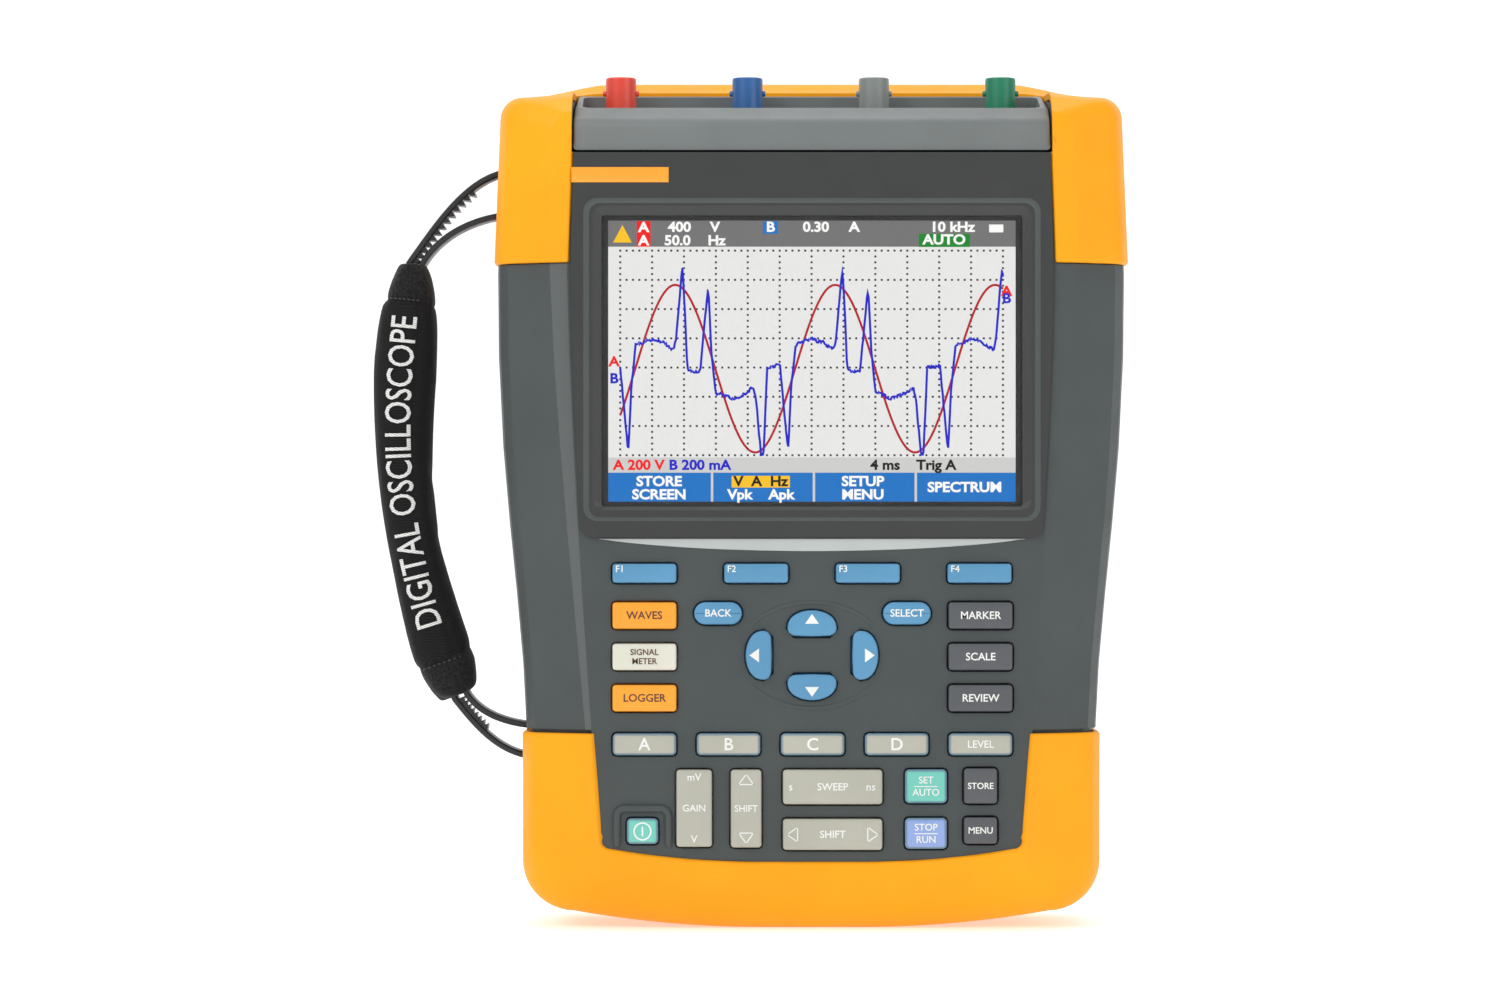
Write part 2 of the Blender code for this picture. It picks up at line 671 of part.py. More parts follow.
def input_panel():
    """The grey moulding above the screen: a brow, a recess and the wall behind the sockets."""
    outline = (
        (-33.2, INPUT_BOTTOM + 0.3),
        (-32.4, 248.6),
        (-31.4, 251.6),
        (-29.2, 253.7),
        (-24.4, 255.8),
        (7.0, 262.0),
        (INPUT_REAR, 262.6),
        (INPUT_REAR, INPUT_BOTTOM + 0.3),
    )
    rings = [[Vector((x, y, z)) for y, z in outline] for x in (-INPUT_HALF, INPUT_HALF)]
    made = loft("input_panel", rings, CASE_GREY)
    floor = [Vector((x, y, INPUT_FLOOR)) for x, y in rounded_rectangle((0, -8.6), (141, 27.5), 3)]
    top = [Vector((x, y, 275)) for x, y in rounded_rectangle((0, -8.2), (146.6, 31.6), 5)]
    boolean(made, loft("input_recess", [floor, top], where=CUTTERS))
    under = box("input_underside", (-71, -29.6, 235), (71, 8.6, INPUT_FLOOR - 2.6), where=CUTTERS)
    boolean(made, under)
    for i, x in enumerate(SOCKET_X):
        bore = cylinder(f"socket_bore_{i}", (x, SOCKET_Y, 245), "Z", 5.0, 20, 20, where=CUTTERS)
        boolean(made, bore)
    return made


def input_socket(name, x, look):
    """A bayonet socket turned about Z: contact in its bore, rim, barrel, flange and tail."""
    top = SOCKET_TOP
    collar = INPUT_FLOOR + GAP
    profile = (
        (0.0, top - 3.0),
        (1.0, top - 3.0),
        (1.0, top - 9.5),
        (4.0, top - 9.5),
        (4.0, top),
        (4.5, top),
        (4.8, top - 0.4),
        (4.8, collar + 2.0),
        (6.4, collar + 2.0),
        (6.4, collar),
        (4.6, collar),
        (4.6, INPUT_FLOOR - 8.0),
        (0.0, INPUT_FLOOR - 8.0),
    )
    mesh = bpy.data.meshes.new(name)
    points = [(r * MM, 0, z * MM) for r, z in profile]
    mesh.from_pydata(points, [(i, i + 1) for i in range(len(points) - 1)], [])
    made = dress(name, mesh, look, PARTS)
    made.location = (x * MM, SOCKET_Y * MM, 0)
    turn = made.modifiers.new("turned", "SCREW")
    turn.steps = turn.render_steps = 16
    turn.use_merge_vertices = True
    turn.merge_threshold = 0.01 * MM
    lugs = cylinder(name + "_lugs", (x, SOCKET_Y, top - 4.9), "X", 0.95, 11.4, 8, where=CUTTERS)
    middle = cylinder(name + "_lug_gap", (x, SOCKET_Y, top - 4.9), "Z", 4.4, 4, 16, where=CUTTERS)
    boolean(lugs, middle)
    return boolean(made, lugs, "UNION")


def display_bezel():
    """A plate round the screen whose sides follow the panel's edges."""
    low = BEZEL_LOW + 0.2
    corner_top = low + BEZEL_CORNER
    corner = panel_half(low) - BEZEL_MARGIN - BEZEL_CORNER
    right = []
    for angle in (0.0, 0.5, 1.05):
        x = corner + BEZEL_CORNER * math.sin(angle)
        right.append((x, corner_top - BEZEL_CORNER * math.cos(angle)))
    steps = 8
    for i in range(steps + 1):
        z = corner_top + (BEZEL_HIGH - corner_top) * i / steps
        right.append((panel_half(z) - BEZEL_MARGIN, z))
    outline = right + [(-x, z) for x, z in reversed(right)]
    made = prism("display_bezel", outline, BEZEL_FRONT, FRONT - GAP, BEZEL_DARK)
    centre = (SCREEN_LOW + SCREEN_HIGH) / 2
    size = (2 * SCREEN_HALF, SCREEN_HIGH - SCREEN_LOW)
    inner = rounded_rectangle((0, centre), size, 0.8)
    outer = rounded_rectangle((0, centre + 0.9), (size[0] + 5.6, size[1] + 4.2), 3.2)
    wide = rounded_rectangle((0, centre + 1.5), (size[0] + 11, size[1] + 8), 4.5)
    levels = (
        (FRONT + 1.0, inner),
        (FRONT - 0.45, inner),
        (BEZEL_FRONT, outer),
        (BEZEL_FRONT - 1.0, wide),
    )
    rings = [[Vector((x, y, z)) for x, z in ring] for y, ring in levels]
    return boolean(made, loft("screen_bevel", rings, where=CUTTERS))


def screen_stack():
    """The window, the display behind it, and the key mat and circuit board behind those."""
    centre = (SCREEN_LOW + SCREEN_HIGH) / 2
    height = SCREEN_HIGH - SCREEN_LOW
    pane = rounded_rectangle(
        (0, centre), (2 * (SCREEN_HALF + WINDOW_LAP), height + 2 * WINDOW_LAP), 0.8
    )
    prism("display_window", pane, FRONT + 0.1, FRONT + 1.1, CLEAR)
    low = (-SCREEN_HALF - LCD_LAP, -31.5, SCREEN_LOW - LCD_LAP)
    high = (SCREEN_HALF + LCD_LAP, -26.5, SCREEN_HIGH + LCD_LAP)
    box("lcd_panel", low, high, SCREEN)
    box("keymat", *KEYMAT, RUBBER, bevel=0.4)
    box("main_board", *MAIN_BOARD, BOARD)


def door_lock(name, door, x):
    """A quarter-turn fastener through the door: head, shank and coin slot."""
    bore = cylinder(f"{name}_bore", (x, REAR, LOCK_Z), "Y", LOCK_SHANK[0] + GAP, 20, where=CUTTERS)
    sink = cylinder(f"{name}_sink", (x, REAR + 3.6, LOCK_Z), "Y", LOCK_HEAD[0] + 0.4, 10, where=CUTTERS)
    boolean(door, bore)
    boolean(door, sink)
    head = cylinder(name, (x, REAR + 0.1, LOCK_Z), "Y", *LOCK_HEAD, 20, STEEL)
    shank = cylinder(name + "_shank", (x, REAR - 2.4, LOCK_Z), "Y", *LOCK_SHANK, where=CUTTERS)
    boolean(head, shank, "UNION")
    long, wide = LOCK_SLOT
    low, high = (x - long, REAR + 0.3, LOCK_Z - wide), (x + long, REAR + 2, LOCK_Z + wide)
    boolean(head, box(f"{name}_slot", low, high, where=CUTTERS))


def rear_fittings():
    low = (-DOOR_HALF, REAR - DOOR_THICKNESS, DOOR_Z[0])
    door = box("battery_door", low, (DOOR_HALF, REAR, DOOR_Z[1]), CASE_GREY, bevel=0.5)
    door_lock("door_lock_left", door, -LOCK_X)
    door_lock("door_lock_right", door, LOCK_X)
    box("battery_pack", *BATTERY, BEZEL_DARK, bevel=2.0)
    tilt_stand()
    for i, (x, z) in enumerate(SCREWS, 1):
        head = cylinder(f"case_screw_{i}", (x, REAR - 0.9, z), "Y", *SCREW_HEAD, 12, STEEL)
        shank = cylinder(f"screw_shank_{i}", (x, 8.0, z), "Y", *SCREW_SHANK, 10, where=CUTTERS)
        boolean(head, shank, "UNION")


def tilt_stand():
    """A flat bail hinged at its upper edge on a steel pin."""
    y, z = STAND_AXIS
    size = (2 * STAND_HALF, z - STAND_LOW)
    outline = rounded_rectangle((0, (STAND_LOW + z) / 2), size, 6, 3)
    stand = prism("tilt_stand", outline, REAR + GAP, REAR + GAP + STAND_THICKNESS, BUMPER_YELLOW)
    window = rounded_rectangle((0, STAND_LOW + 36), STAND_WINDOW, 5, 3)
    boolean(stand, prism("stand_window", window, REAR - 5, REAR + 9, where=CUTTERS))
    length = 2 * STAND_HALF + 2
    knuckle = cylinder("stand_knuckle", (0, y, z), "X", KNUCKLE_RADIUS, length, where=CUTTERS)
    boolean(stand, knuckle, "UNION")
    bore = cylinder("stand_bore", (0, y, z), "X", PIN_RADIUS + TURN_GAP, 130, where=CUTTERS)
    boolean(stand, bore)
    cylinder("stand_hinge_pin", (0, y, z), "X", PIN_RADIUS, PIN_LENGTH, look=STEEL)


def ports():
    """The service ports behind a rubber flap on the right side."""
    y_from, y_to = PORT_Y[0] - 6, PORT_Y[1] + 6
    flap = body("port_cover", 0.2, y_from=y_from, y_to=y_to, look=RUBBER)
    boolean(flap, port_opening("port_cover_size", 0.0), "INTERSECT")
    inside = body("port_cover_inside", 0.2 - COVER_THICKNESS, y_from=y_from - 2, y_to=y_to + 2)
    boolean(flap, inside)
    block = box("port_block", *PORT_BLOCK, RUBBER)
    for name, low, high in (
        ("usb_host", (81, 3.5, 143), (95, 10.5, 157.2)),
        ("usb_device", (81, 5.2, 131), (95, 8.8, 138.6)),
    ):
        boolean(block, box(name, low, high, where=CUTTERS))
    jack = cylinder("power_jack", (90, 7.0, 124), "X", 3.4, 14, 12, where=CUTTERS)
    return boolean(block, jack)


def bezier(p0, p1, p2, p3, share):
    a = 1 - share
    weights = (a**3, 3 * a * a * share, 3 * a * share * share, share**3)
    return sum((Vector(p) * w for p, w in zip((p0, p1, p2, p3), weights)), Vector((0, 0)))


def pad_point(share):
    """A point (x, z) on the sleeve's centre line, and the unit normal to its right."""
    ahead, behind = min(1.0, share + 0.01), max(0.0, share - 0.01)
    along = (bezier(*PAD_PATH, ahead) - bezier(*PAD_PATH, behind)).normalized()
    return bezier(*PAD_PATH, share), Vector((-along[1], along[0]))


def inner_run(share):
    """Distance of the band's inner run from the sleeve's centre line."""
    end = max(0.0, 1 - 10 * share, 10 * share - 9)
    return BAND_RUN + BAND_SPLAY * end


def band_path():
    """The band's closed centre line as (x, z): up the outer side, round both bars and back."""
    run_shares = [i / RUN_STEPS for i in range(RUN_STEPS + 1)]
    outer, inner = [], []
    for share in run_shares:
        place, normal = pad_point(share)
        outer.append(place - normal * BAND_RUN)
        inner.append(place + normal * inner_run(share))
    up, down = Vector(UPPER_BAR), Vector(LOWER_BAR)
    up_z, down_z = Vector((0, UPPER_LOOP[1])), Vector((0, LOWER_LOOP[1]))
    shares = [i / STRAND_STEPS for i in range(1, STRAND_STEPS)]
    points = outer[::-1]
    points += [bezier(outer[0], (-119.5, 218.5), (-108.0, 238.3), up + up_z, s) for s in shares]
    points += band_loop(up, UPPER_LOOP)
    points += [bezier(up - up_z, (-109.0, 223.2), (-118.8, 215.5), inner[0], s) for s in shares]
    points += inner
    points += [bezier(inner[-1], (-104.5, 66.0), (-96.0, 62.2), down + down_z, s) for s in shares]
    points += band_loop(down, LOWER_LOOP)
    points += [bezier(down - down_z, (-97.5, 51.2), (-106.0, 62.5), outer[-1], s) for s in shares]
    return points


def band_loop(bar, radii):
    """The band's way round a bar, from above it to below it."""
    points = []
    for step in range(7):
        angle = math.radians(90 - 180 * step / 6)
        points.append(Vector(bar) + Vector((radii[0] * math.cos(angle), radii[1] * math.sin(angle))))
    return points


def strap_band():
    path = band_path()
    rings = []
    for i, place in enumerate(path):
        along = (path[(i + 1) % len(path)] - path[i - 1]).normalized()
        side = Vector((-along[1], along[0])) * BAND_THICKNESS / 2
        ring = []
        for offset, y in ((side, -1), (side, 1), (-side, 1), (-side, -1)):
            spot = place + offset
            ring.append(Vector((spot[0], y * BAND_HALF_WIDTH, spot[1])))
        rings.append(ring)
    return loft("strap_band", rings, RUBBER, closed=True)


def strap_pad():
    """A soft sleeve of rounded section along the curved path, with a channel for the band."""
    rings = []
    for share in PAD_SHARES[:4] + (0.33,) + PAD_SHARES[4:6] + (0.67,) + PAD_SHARES[6:]:
        place, normal = pad_point(share)
        half = np.interp(share, PAD_SHARES, PAD_HALVES)
        half_depth = PAD_HALF_DEPTH * min(1.0, 0.4 + 0.07 * half)
        ring = []
        for step in range(16):
            angle = 2 * math.pi * step / 16
            cos, sin = math.cos(angle), math.sin(angle)
            spot = place + normal * half * math.copysign(abs(cos) ** 0.8, cos)
            ring.append(Vector((spot[0], half_depth * math.copysign(abs(sin) ** 0.8, sin), spot[1])))
        rings.append(ring)
    made = loft("strap_pad", rings, FABRIC)
    channel = []
    for i in range(-1, RUN_STEPS + 2):
        share = clamp(i / RUN_STEPS)
        place, normal = pad_point(share)
        past_end = i - RUN_STEPS * share
        place = place + Vector((normal[1], -normal[0])) * 3.0 * past_end
        ring = []
        inner, outer = inner_run(share) + 1.3, -BAND_RUN - 1.3
        for out, deep in ((outer, -6.6), (outer, 6.6), (inner, 6.6), (inner, -6.6)):
            spot = place + normal * out
            ring.append(Vector((spot[0], deep, spot[1])))
        channel.append(ring)
    return boolean(made, loft("strap_channel", channel, where=CUTTERS))


def strap_anchor(name, bar, half_z, front_x):
    """A cup let into the case's side, with the bar that the band passes round."""
    x, z = bar
    y_out, z_out = MOUTH_HALF_Y + ANCHOR_WALL, half_z + ANCHOR_WALL
    back = x + CUP_BEHIND
    high = (back + ANCHOR_WALL, y_out, z + z_out)
    made = box(name, (front_x, -y_out, z - z_out), high, RUBBER)
    low, high = (front_x - 5, -MOUTH_HALF_Y, z - half_z), (back, MOUTH_HALF_Y, z + half_z)
    boolean(made, box(name + "_hollow", low, high, where=CUTTERS))
    length = 2 * MOUTH_HALF_Y + ANCHOR_WALL
    post = cylinder(name + "_bar", (x, 0, z), "Y", BAR_RADIUS, length, 12, where=CUTTERS)
    return boolean(made, post, "UNION")


def set_pivots():
    """Puts each moving piece's origin on its joint's axis."""
    parts = PARTS.objects
    for name, (x, z), _, kind, _ in key_list():
        depth = ROCKER_AXIS if kind.startswith("rocker") else KEY_TOP
        pivot(parts[name], x, depth, z)
    pivot(parts["tilt_stand"], 0, *STAND_AXIS)
    pivot(parts["battery_door"], 0, REAR, (DOOR_Z[0] + DOOR_Z[1]) / 2)
    for side, name in ((-1, "door_lock_left"), (1, "door_lock_right")):
        pivot(parts[name], side * LOCK_X, REAR, LOCK_Z)
    middle = (PORT_Z[0] + PORT_Z[1]) / 2
    pivot(parts["port_cover"], silhouette_half(middle) + GAP, PORT_Y[0], middle)
    x, z = (Vector(UPPER_BAR) + Vector(LOWER_BAR)) / 2
    strap_swing = bpy.data.objects.new("strap_swing", None)
    strap_swing.location = (x * MM, 0, z * MM)
    PARTS.objects.link(strap_swing)
    for name in ("strap_band", "strap_pad"):
        pivot(parts[name], x, 0, z)
        parts[name].parent = strap_swing
        parts[name].location = (0, 0, 0)


def build():
    front_case()
    rear_case()
    bumper(
        "top_bumper",
        top_zone("top_bumper_zone", TOP_BUMPER_FROM, 0.15),
        ((UPPER_BAR, UPPER_MOUTH),),
        TOP_PADS,
    )
    bumper(
        "bottom_bumper",
        bottom_zone("bottom_bumper_zone", BOTTOM_BUMPER_TO - 0.3, 0.45),
        ((LOWER_BAR, LOWER_MOUTH),),
        BOTTOM_PADS,
    )
    input_panel()
    looks = (INPUT_RED, INPUT_BLUE, INPUT_GREY, INPUT_GREEN)
    for letter, x, look in zip("abcd", SOCKET_X, looks):
        input_socket(f"input_socket_{letter}", x, look)
    display_bezel()
    screen_stack()
    for key_data in key_list():
        key(*key_data)
    rear_fittings()
    ports()
    strap_band()
    strap_pad()
    strap_anchor("strap_anchor_upper", UPPER_BAR, UPPER_MOUTH, CUP_FRONTS[0])
    strap_anchor("strap_anchor_lower", LOWER_BAR, LOWER_MOUTH, CUP_FRONTS[1])
    set_pivots()


build()
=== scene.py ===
"""Looks of the portable oscilloscope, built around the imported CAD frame.

Lengths in this file are millimetres in the frame's axes: +Z up, the screen faces -Y, +X is to the
viewer's right. They become metres where a mesh is made.
"""

import json
import math
import random

import bmesh
import bpy
import numpy as np
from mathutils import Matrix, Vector
from mathutils.bvhtree import BVHTree


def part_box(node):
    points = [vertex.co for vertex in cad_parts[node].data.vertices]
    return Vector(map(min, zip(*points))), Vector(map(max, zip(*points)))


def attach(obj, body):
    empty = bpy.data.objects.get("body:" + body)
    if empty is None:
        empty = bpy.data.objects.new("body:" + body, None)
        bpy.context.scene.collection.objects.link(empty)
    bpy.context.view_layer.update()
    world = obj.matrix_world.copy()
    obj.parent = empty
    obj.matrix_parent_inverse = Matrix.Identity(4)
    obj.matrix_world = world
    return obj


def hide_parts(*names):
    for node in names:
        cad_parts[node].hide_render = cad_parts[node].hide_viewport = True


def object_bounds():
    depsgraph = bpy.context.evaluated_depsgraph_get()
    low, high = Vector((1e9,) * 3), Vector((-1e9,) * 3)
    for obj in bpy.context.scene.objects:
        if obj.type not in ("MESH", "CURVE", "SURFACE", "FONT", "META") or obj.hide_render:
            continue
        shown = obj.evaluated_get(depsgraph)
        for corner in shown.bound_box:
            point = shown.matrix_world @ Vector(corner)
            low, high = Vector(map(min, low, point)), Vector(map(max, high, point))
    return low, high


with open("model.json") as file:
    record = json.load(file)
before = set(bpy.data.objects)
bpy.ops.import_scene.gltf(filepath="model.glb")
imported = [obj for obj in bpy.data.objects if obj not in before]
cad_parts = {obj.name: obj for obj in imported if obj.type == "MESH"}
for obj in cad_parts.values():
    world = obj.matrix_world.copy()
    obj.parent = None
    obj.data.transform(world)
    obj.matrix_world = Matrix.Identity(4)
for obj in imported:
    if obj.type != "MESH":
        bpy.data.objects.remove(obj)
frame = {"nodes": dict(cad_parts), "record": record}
CAD_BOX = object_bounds()
NODES = frame["nodes"]
BODY_OF = {n: body for body, names in frame["record"]["behaviour"]["bodies"].items() for n in names}
MM = 0.001

# ---------------------------------------------------------------- helpers


def node_box(node):
    """A CAD node's lowest and highest corners in millimetres."""
    low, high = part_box(node)
    return low / MM, high / MM


def finish_mesh(name, mesh, looks, body, slot=None, smooth=40.0):
    """An object of a mesh, with its materials, its shading and its body; its slot argument is not used."""
    made = add_object(name, mesh)
    for look in looks if isinstance(looks, (list, tuple)) else [looks]:
        mesh.materials.append(look)
    if smooth:
        soften(mesh, smooth)
    if body:
        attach(made, body)
    return made


def mesh_of(name, verts, faces):
    """A mesh in metres from vertices in millimetres, with its faces turned outwards."""
    mesh = bpy.data.meshes.new(name)
    mesh.from_pydata([Vector(v) * MM for v in verts], [], faces)
    bm = bmesh.new()
    bm.from_mesh(mesh)
    bmesh.ops.recalc_face_normals(bm, faces=bm.faces)
    bm.to_mesh(mesh)
    bm.free()
    return mesh


def loft_data(rings, closed=False):
    """Vertices and faces of a skin over rings of equal length."""
    count = len(rings[0])
    verts = [p for ring in rings for p in ring]
    faces = []
    spans = len(rings) if closed else len(rings) - 1
    for i in range(spans):
        a, b = i * count, ((i + 1) % len(rings)) * count
        for j in range(count):
            k = (j + 1) % count
            faces.append((a + j, a + k, b + k, b + j))
    if not closed:
        faces.append(tuple(range(count))[::-1])
        faces.append(tuple(range((len(rings) - 1) * count, len(rings) * count)))
    return verts, faces


def loft(name, rings, looks, body, closed=False, **more):
    return finish_mesh(name, mesh_of(name, *loft_data(rings, closed)), looks, body, **more)


def add_object(name, data):
    made = bpy.data.objects.new(name, data)
    bpy.context.scene.collection.objects.link(made)
    return made


def soften(mesh, angle):
    """Smooth shading, with a crease at edges that turn by more than an angle in degrees."""
    mesh.shade_smooth()
    mesh.set_sharp_from_angle(angle=math.radians(angle))


def baked(target):
    """A new mesh of an object as its modifiers leave it."""
    bpy.context.view_layer.update()
    return bpy.data.meshes.new_from_object(target.evaluated_get(bpy.context.evaluated_depsgraph_get()))


def multi(name, parts, looks, body, **more):
    """One object of several closed shapes, given as (vertices, faces, number of its material)."""
    verts, faces, slots = [], [], []
    for part_verts, part_faces, slot in parts:
        start = len(verts)
        verts += list(part_verts)
        faces += [tuple(i + start for i in face) for face in part_faces]
        slots += [slot] * len(part_faces)
    mesh = mesh_of(name, verts, faces)
    mesh.polygons.foreach_set("material_index", slots)
    return finish_mesh(name, mesh, looks, body, **more)


def prism_data(outline, y_from, y_to):
    return loft_data([[Vector((x, y, z)) for x, z in outline] for y in (y_from, y_to)])


def corners(x0, z0, x1, z1):
    return [(x0, z0), (x1, z0), (x1, z1), (x0, z1)]


def box_data(low, high):
    return prism_data(corners(low[0], low[2], high[0], high[2]), low[1], high[1])


def rounded_rectangle(centre, size, radius, steps=5):
    points = []
    for side_x, side_z, start in ((1, -1, -90), (1, 1, 0), (-1, 1, 90), (-1, -1, 180)):
        for step in range(steps + 1):
            angle = math.radians(start + 90 * step / steps)
            x = centre[0] + side_x * (size[0] / 2 - radius) + radius * math.cos(angle)
            z = centre[1] + side_z * (size[1] / 2 - radius) + radius * math.sin(angle)
            points.append((x, z))
    return points


def middle_of(node):
    """The middle (x, z) of a CAD node."""
    low, high = node_box(node)
    return (low[0] + high[0]) / 2, (low[2] + high[2]) / 2


def turns(steps):
    return [2 * math.pi * step / steps for step in range(steps)]


def circle(centre, radius, steps):
    return [(centre[0] + radius * math.cos(a), centre[1] + radius * math.sin(a)) for a in turns(steps)]


def arc(centre, radii, start, end, count):
    """Points (x, z) on part of an ellipse between two angles in degrees."""
    angles = np.radians(np.linspace(start, end, count))
    return [(centre[0] + radii[0] * math.cos(a), centre[1] + radii[1] * math.sin(a)) for a in angles]


def inset(points, distance):
    """A convex outline moved inwards by a distance along its corners' normals."""
    count = len(points)
    middle = Vector((sum(p[0] for p in points), sum(p[1] for p in points))) / count
    moved = []
    for i, point in enumerate(points):
        place = Vector(point)
        along = Vector(points[(i + 1) % count]) - Vector(points[i - 1])
        normal = Vector((-along[1], along[0])).normalized()
        if normal.dot(middle - place) < 0:
            normal = -normal
        moved.append(tuple(place + normal * distance))
    return moved


def stepped(outline, steps):
    """Rings of a flat (x, z) outline at some depths, each inset by its own distance."""
    return [[Vector((x, y, z)) for x, z in inset(outline, back)] for y, back in steps]


def sideways(path, i, reach=1):
    """The unit normal to the left of an open (x, z) path at one of its points."""
    along = Vector(path[min(i + reach, len(path) - 1)]) - Vector(path[max(i - reach, 0)])
    along.normalize()
    return Vector((-along[1], along[0]))


def turned_data(profile, centre, axis="Z", steps=48):
    """A closed solid of revolution from (radius, height) points that start and end on the axis."""

    def spot(across, up, height):
        x, y = centre[0] + across, centre[1] + up
        return Vector({"Z": (x, y, height), "Y": (x, height, y), "X": (height, x, y)}[axis])

    verts = []
    for angle in turns(steps):
        cos, sin = math.cos(angle), math.sin(angle)
        verts += [spot(radius * cos, radius * sin, height) for radius, height in profile[1:-1]]
    count = len(profile) - 2
    faces = []
    for i in range(steps):
        a, b = i * count, ((i + 1) % steps) * count
        for j in range(count - 1):
            faces.append((a + j, b + j, b + j + 1, a + j + 1))
    for end, (_, height) in ((0, profile[0]), (count - 1, profile[-1])):
        verts.append(spot(0, 0, height))
        tip = len(verts) - 1
        for i in range(steps):
            faces.append((i * count + end, ((i + 1) % steps) * count + end, tip))
    return verts, faces


def cut(target, cutters):
    """Subtracts temporary solids, given as (vertices, faces), from an object."""
    tools = []
    for i, data in enumerate(cutters):
        tool = add_object(f"tool_{i}", mesh_of("tool", *data))
        step = target.modifiers.new(f"cut_{i}", "BOOLEAN")
        step.operation, step.solver, step.object, step.use_self = "DIFFERENCE", "EXACT", tool, True
        tools.append(tool)
    apply_modifiers(target)
    for tool in tools:
        mesh = tool.data
        bpy.data.objects.remove(tool)
        bpy.data.meshes.remove(mesh)


def apply_modifiers(target, smooth=40.0):
    use_mesh(target, baked(target))
    soften(target.data, smooth)


def use_mesh(target, mesh):
    """Puts a mesh in the place of an object's own mesh and modifiers."""
    old = target.data
    target.modifiers.clear()
    target.data = mesh
    bpy.data.meshes.remove(old)


def text_data(words, size, centre, front, depth=0.25, align="CENTER", width=1.0, weight=0.018):
    """Letters as closed solids that face -Y, as (vertices, faces), with their fronts at a depth."""
    curve = bpy.data.curves.new("letters", "FONT")
    curve.body, curve.size, curve.align_x, curve.align_y = words, size, align, "CENTER"
    curve.resolution_u, curve.extrude, curve.offset = 3, depth / 2, weight * size
    made = add_object("letters", curve)
    mesh = baked(made)
    bm = bmesh.new()
    bm.from_mesh(mesh)
    bmesh.ops.remove_doubles(bm, verts=bm.verts, dist=1e-5)
    back = front + depth / 2
    verts = [Vector((centre[0] + v.co[0] * width, back - v.co[2], centre[1] + v.co[1])) for v in bm.verts]
    bm.verts.index_update()
    faces = [tuple(v.index for v in face.verts) for face in bm.faces]
    bm.free()
    bpy.data.objects.remove(made)
    bpy.data.curves.remove(curve)
    bpy.data.meshes.remove(mesh)
    return verts, faces


# ---------------------------------------------------------------- materials


class Look:
    """A node material built step by step."""

    def __init__(self, name, colour=None, roughness=0.5, metallic=0.0):
        self.material = bpy.data.materials.new(name)
        self.material.use_nodes = True
        self.tree = self.material.node_tree
        self.shader = self.tree.nodes["Principled BSDF"]
        self.coords = self.node("ShaderNodeTexCoord").outputs["Object"]
        self.set({"Roughness": roughness, "Metallic": metallic})
        if colour:
            self.set({"Base Color": colour})

    def node(self, kind, **settings):
        made = self.tree.nodes.new(kind)
        for key, value in settings.items():
            setattr(made, key, value)
        return made

    def put(self, value, socket):
        """Gives an input a number, a colour or a link from another node."""
        if isinstance(value, (int, float)):
            socket.default_value = value
        elif isinstance(value, tuple):
            socket.default_value = (*value, 1.0)
        else:
            self.tree.links.new(value, socket)

    def set(self, values):
        """Fills inputs of the shader, by their names."""
        for name, value in values.items():
            self.put(value, self.shader.inputs[name])

    def place(self, axis):
        """The object's own X, Y or Z in metres."""
        made = self.node("ShaderNodeSeparateXYZ")
        self.put(self.coords, made.inputs[0])
        return made.outputs[axis]

    def noise(self, millimetres, detail=3.0, stretch=(1, 1, 1)):
        """Noise from 0 to 1 whose blotches are about this size."""
        place = self.node("ShaderNodeMapping")
        place.inputs["Scale"].default_value = stretch
        self.put(self.coords, place.inputs["Vector"])
        made = self.node("ShaderNodeTexNoise")
        self.put(1000.0 / millimetres, made.inputs["Scale"])
        self.put(detail, made.inputs["Detail"])
        self.put(place.outputs[0], made.inputs["Vector"])
        return made.outputs["Fac"]

    def ramp(self, source, low, high, start=0.3, end=0.7):
        """Colours or greys from low to high as the source goes from start to end."""
        made = self.node("ShaderNodeValToRGB")
        for element, position, value in zip(made.color_ramp.elements, (start, end), (low, high)):
            element.position = position
            element.color = (*value, 1.0) if isinstance(value, tuple) else (value, value, value, 1.0)
        self.put(source, made.inputs[0])
        return made.outputs[0]

    def math(self, operation, a, b):
        made = self.node("ShaderNodeMath", operation=operation)
        self.put(a, made.inputs[0])
        self.put(b, made.inputs[1])
        return made.outputs[0]

    def times(self, a, b):
        return self.math("MULTIPLY", a, b)

    def wave(self, source, pitch):
        """A sine that repeats each pitch in millimetres."""
        return self.math("SINE", self.times(source, 2 * math.pi / (pitch * MM)), 0.0)

    def mix(self, factor, a, b):
        made = self.node("ShaderNodeMix", data_type="RGBA")
        for value, socket in ((factor, 0), (a, 6), (b, 7)):
            self.put(value, made.inputs[socket])
        return made.outputs[2]

    def bump(self, height, distance, strength=1.0, round_edges=0.0):
        """Relief of this many millimetres, on edges eased over round_edges millimetres."""
        made = self.node("ShaderNodeBump")
        self.put(strength, made.inputs["Strength"])
        self.put(distance * MM, made.inputs["Distance"])
        self.put(height, made.inputs["Height"])
        if round_edges:
            bevel = self.node("ShaderNodeBevel", samples=4)
            self.put(round_edges * MM, bevel.inputs["Radius"])
            self.put(bevel.outputs[0], made.inputs["Normal"])
        self.put(made.outputs[0], self.shader.inputs["Normal"])


def shade(colour, factor):
    return tuple(min(1.0, c * factor) for c in colour)
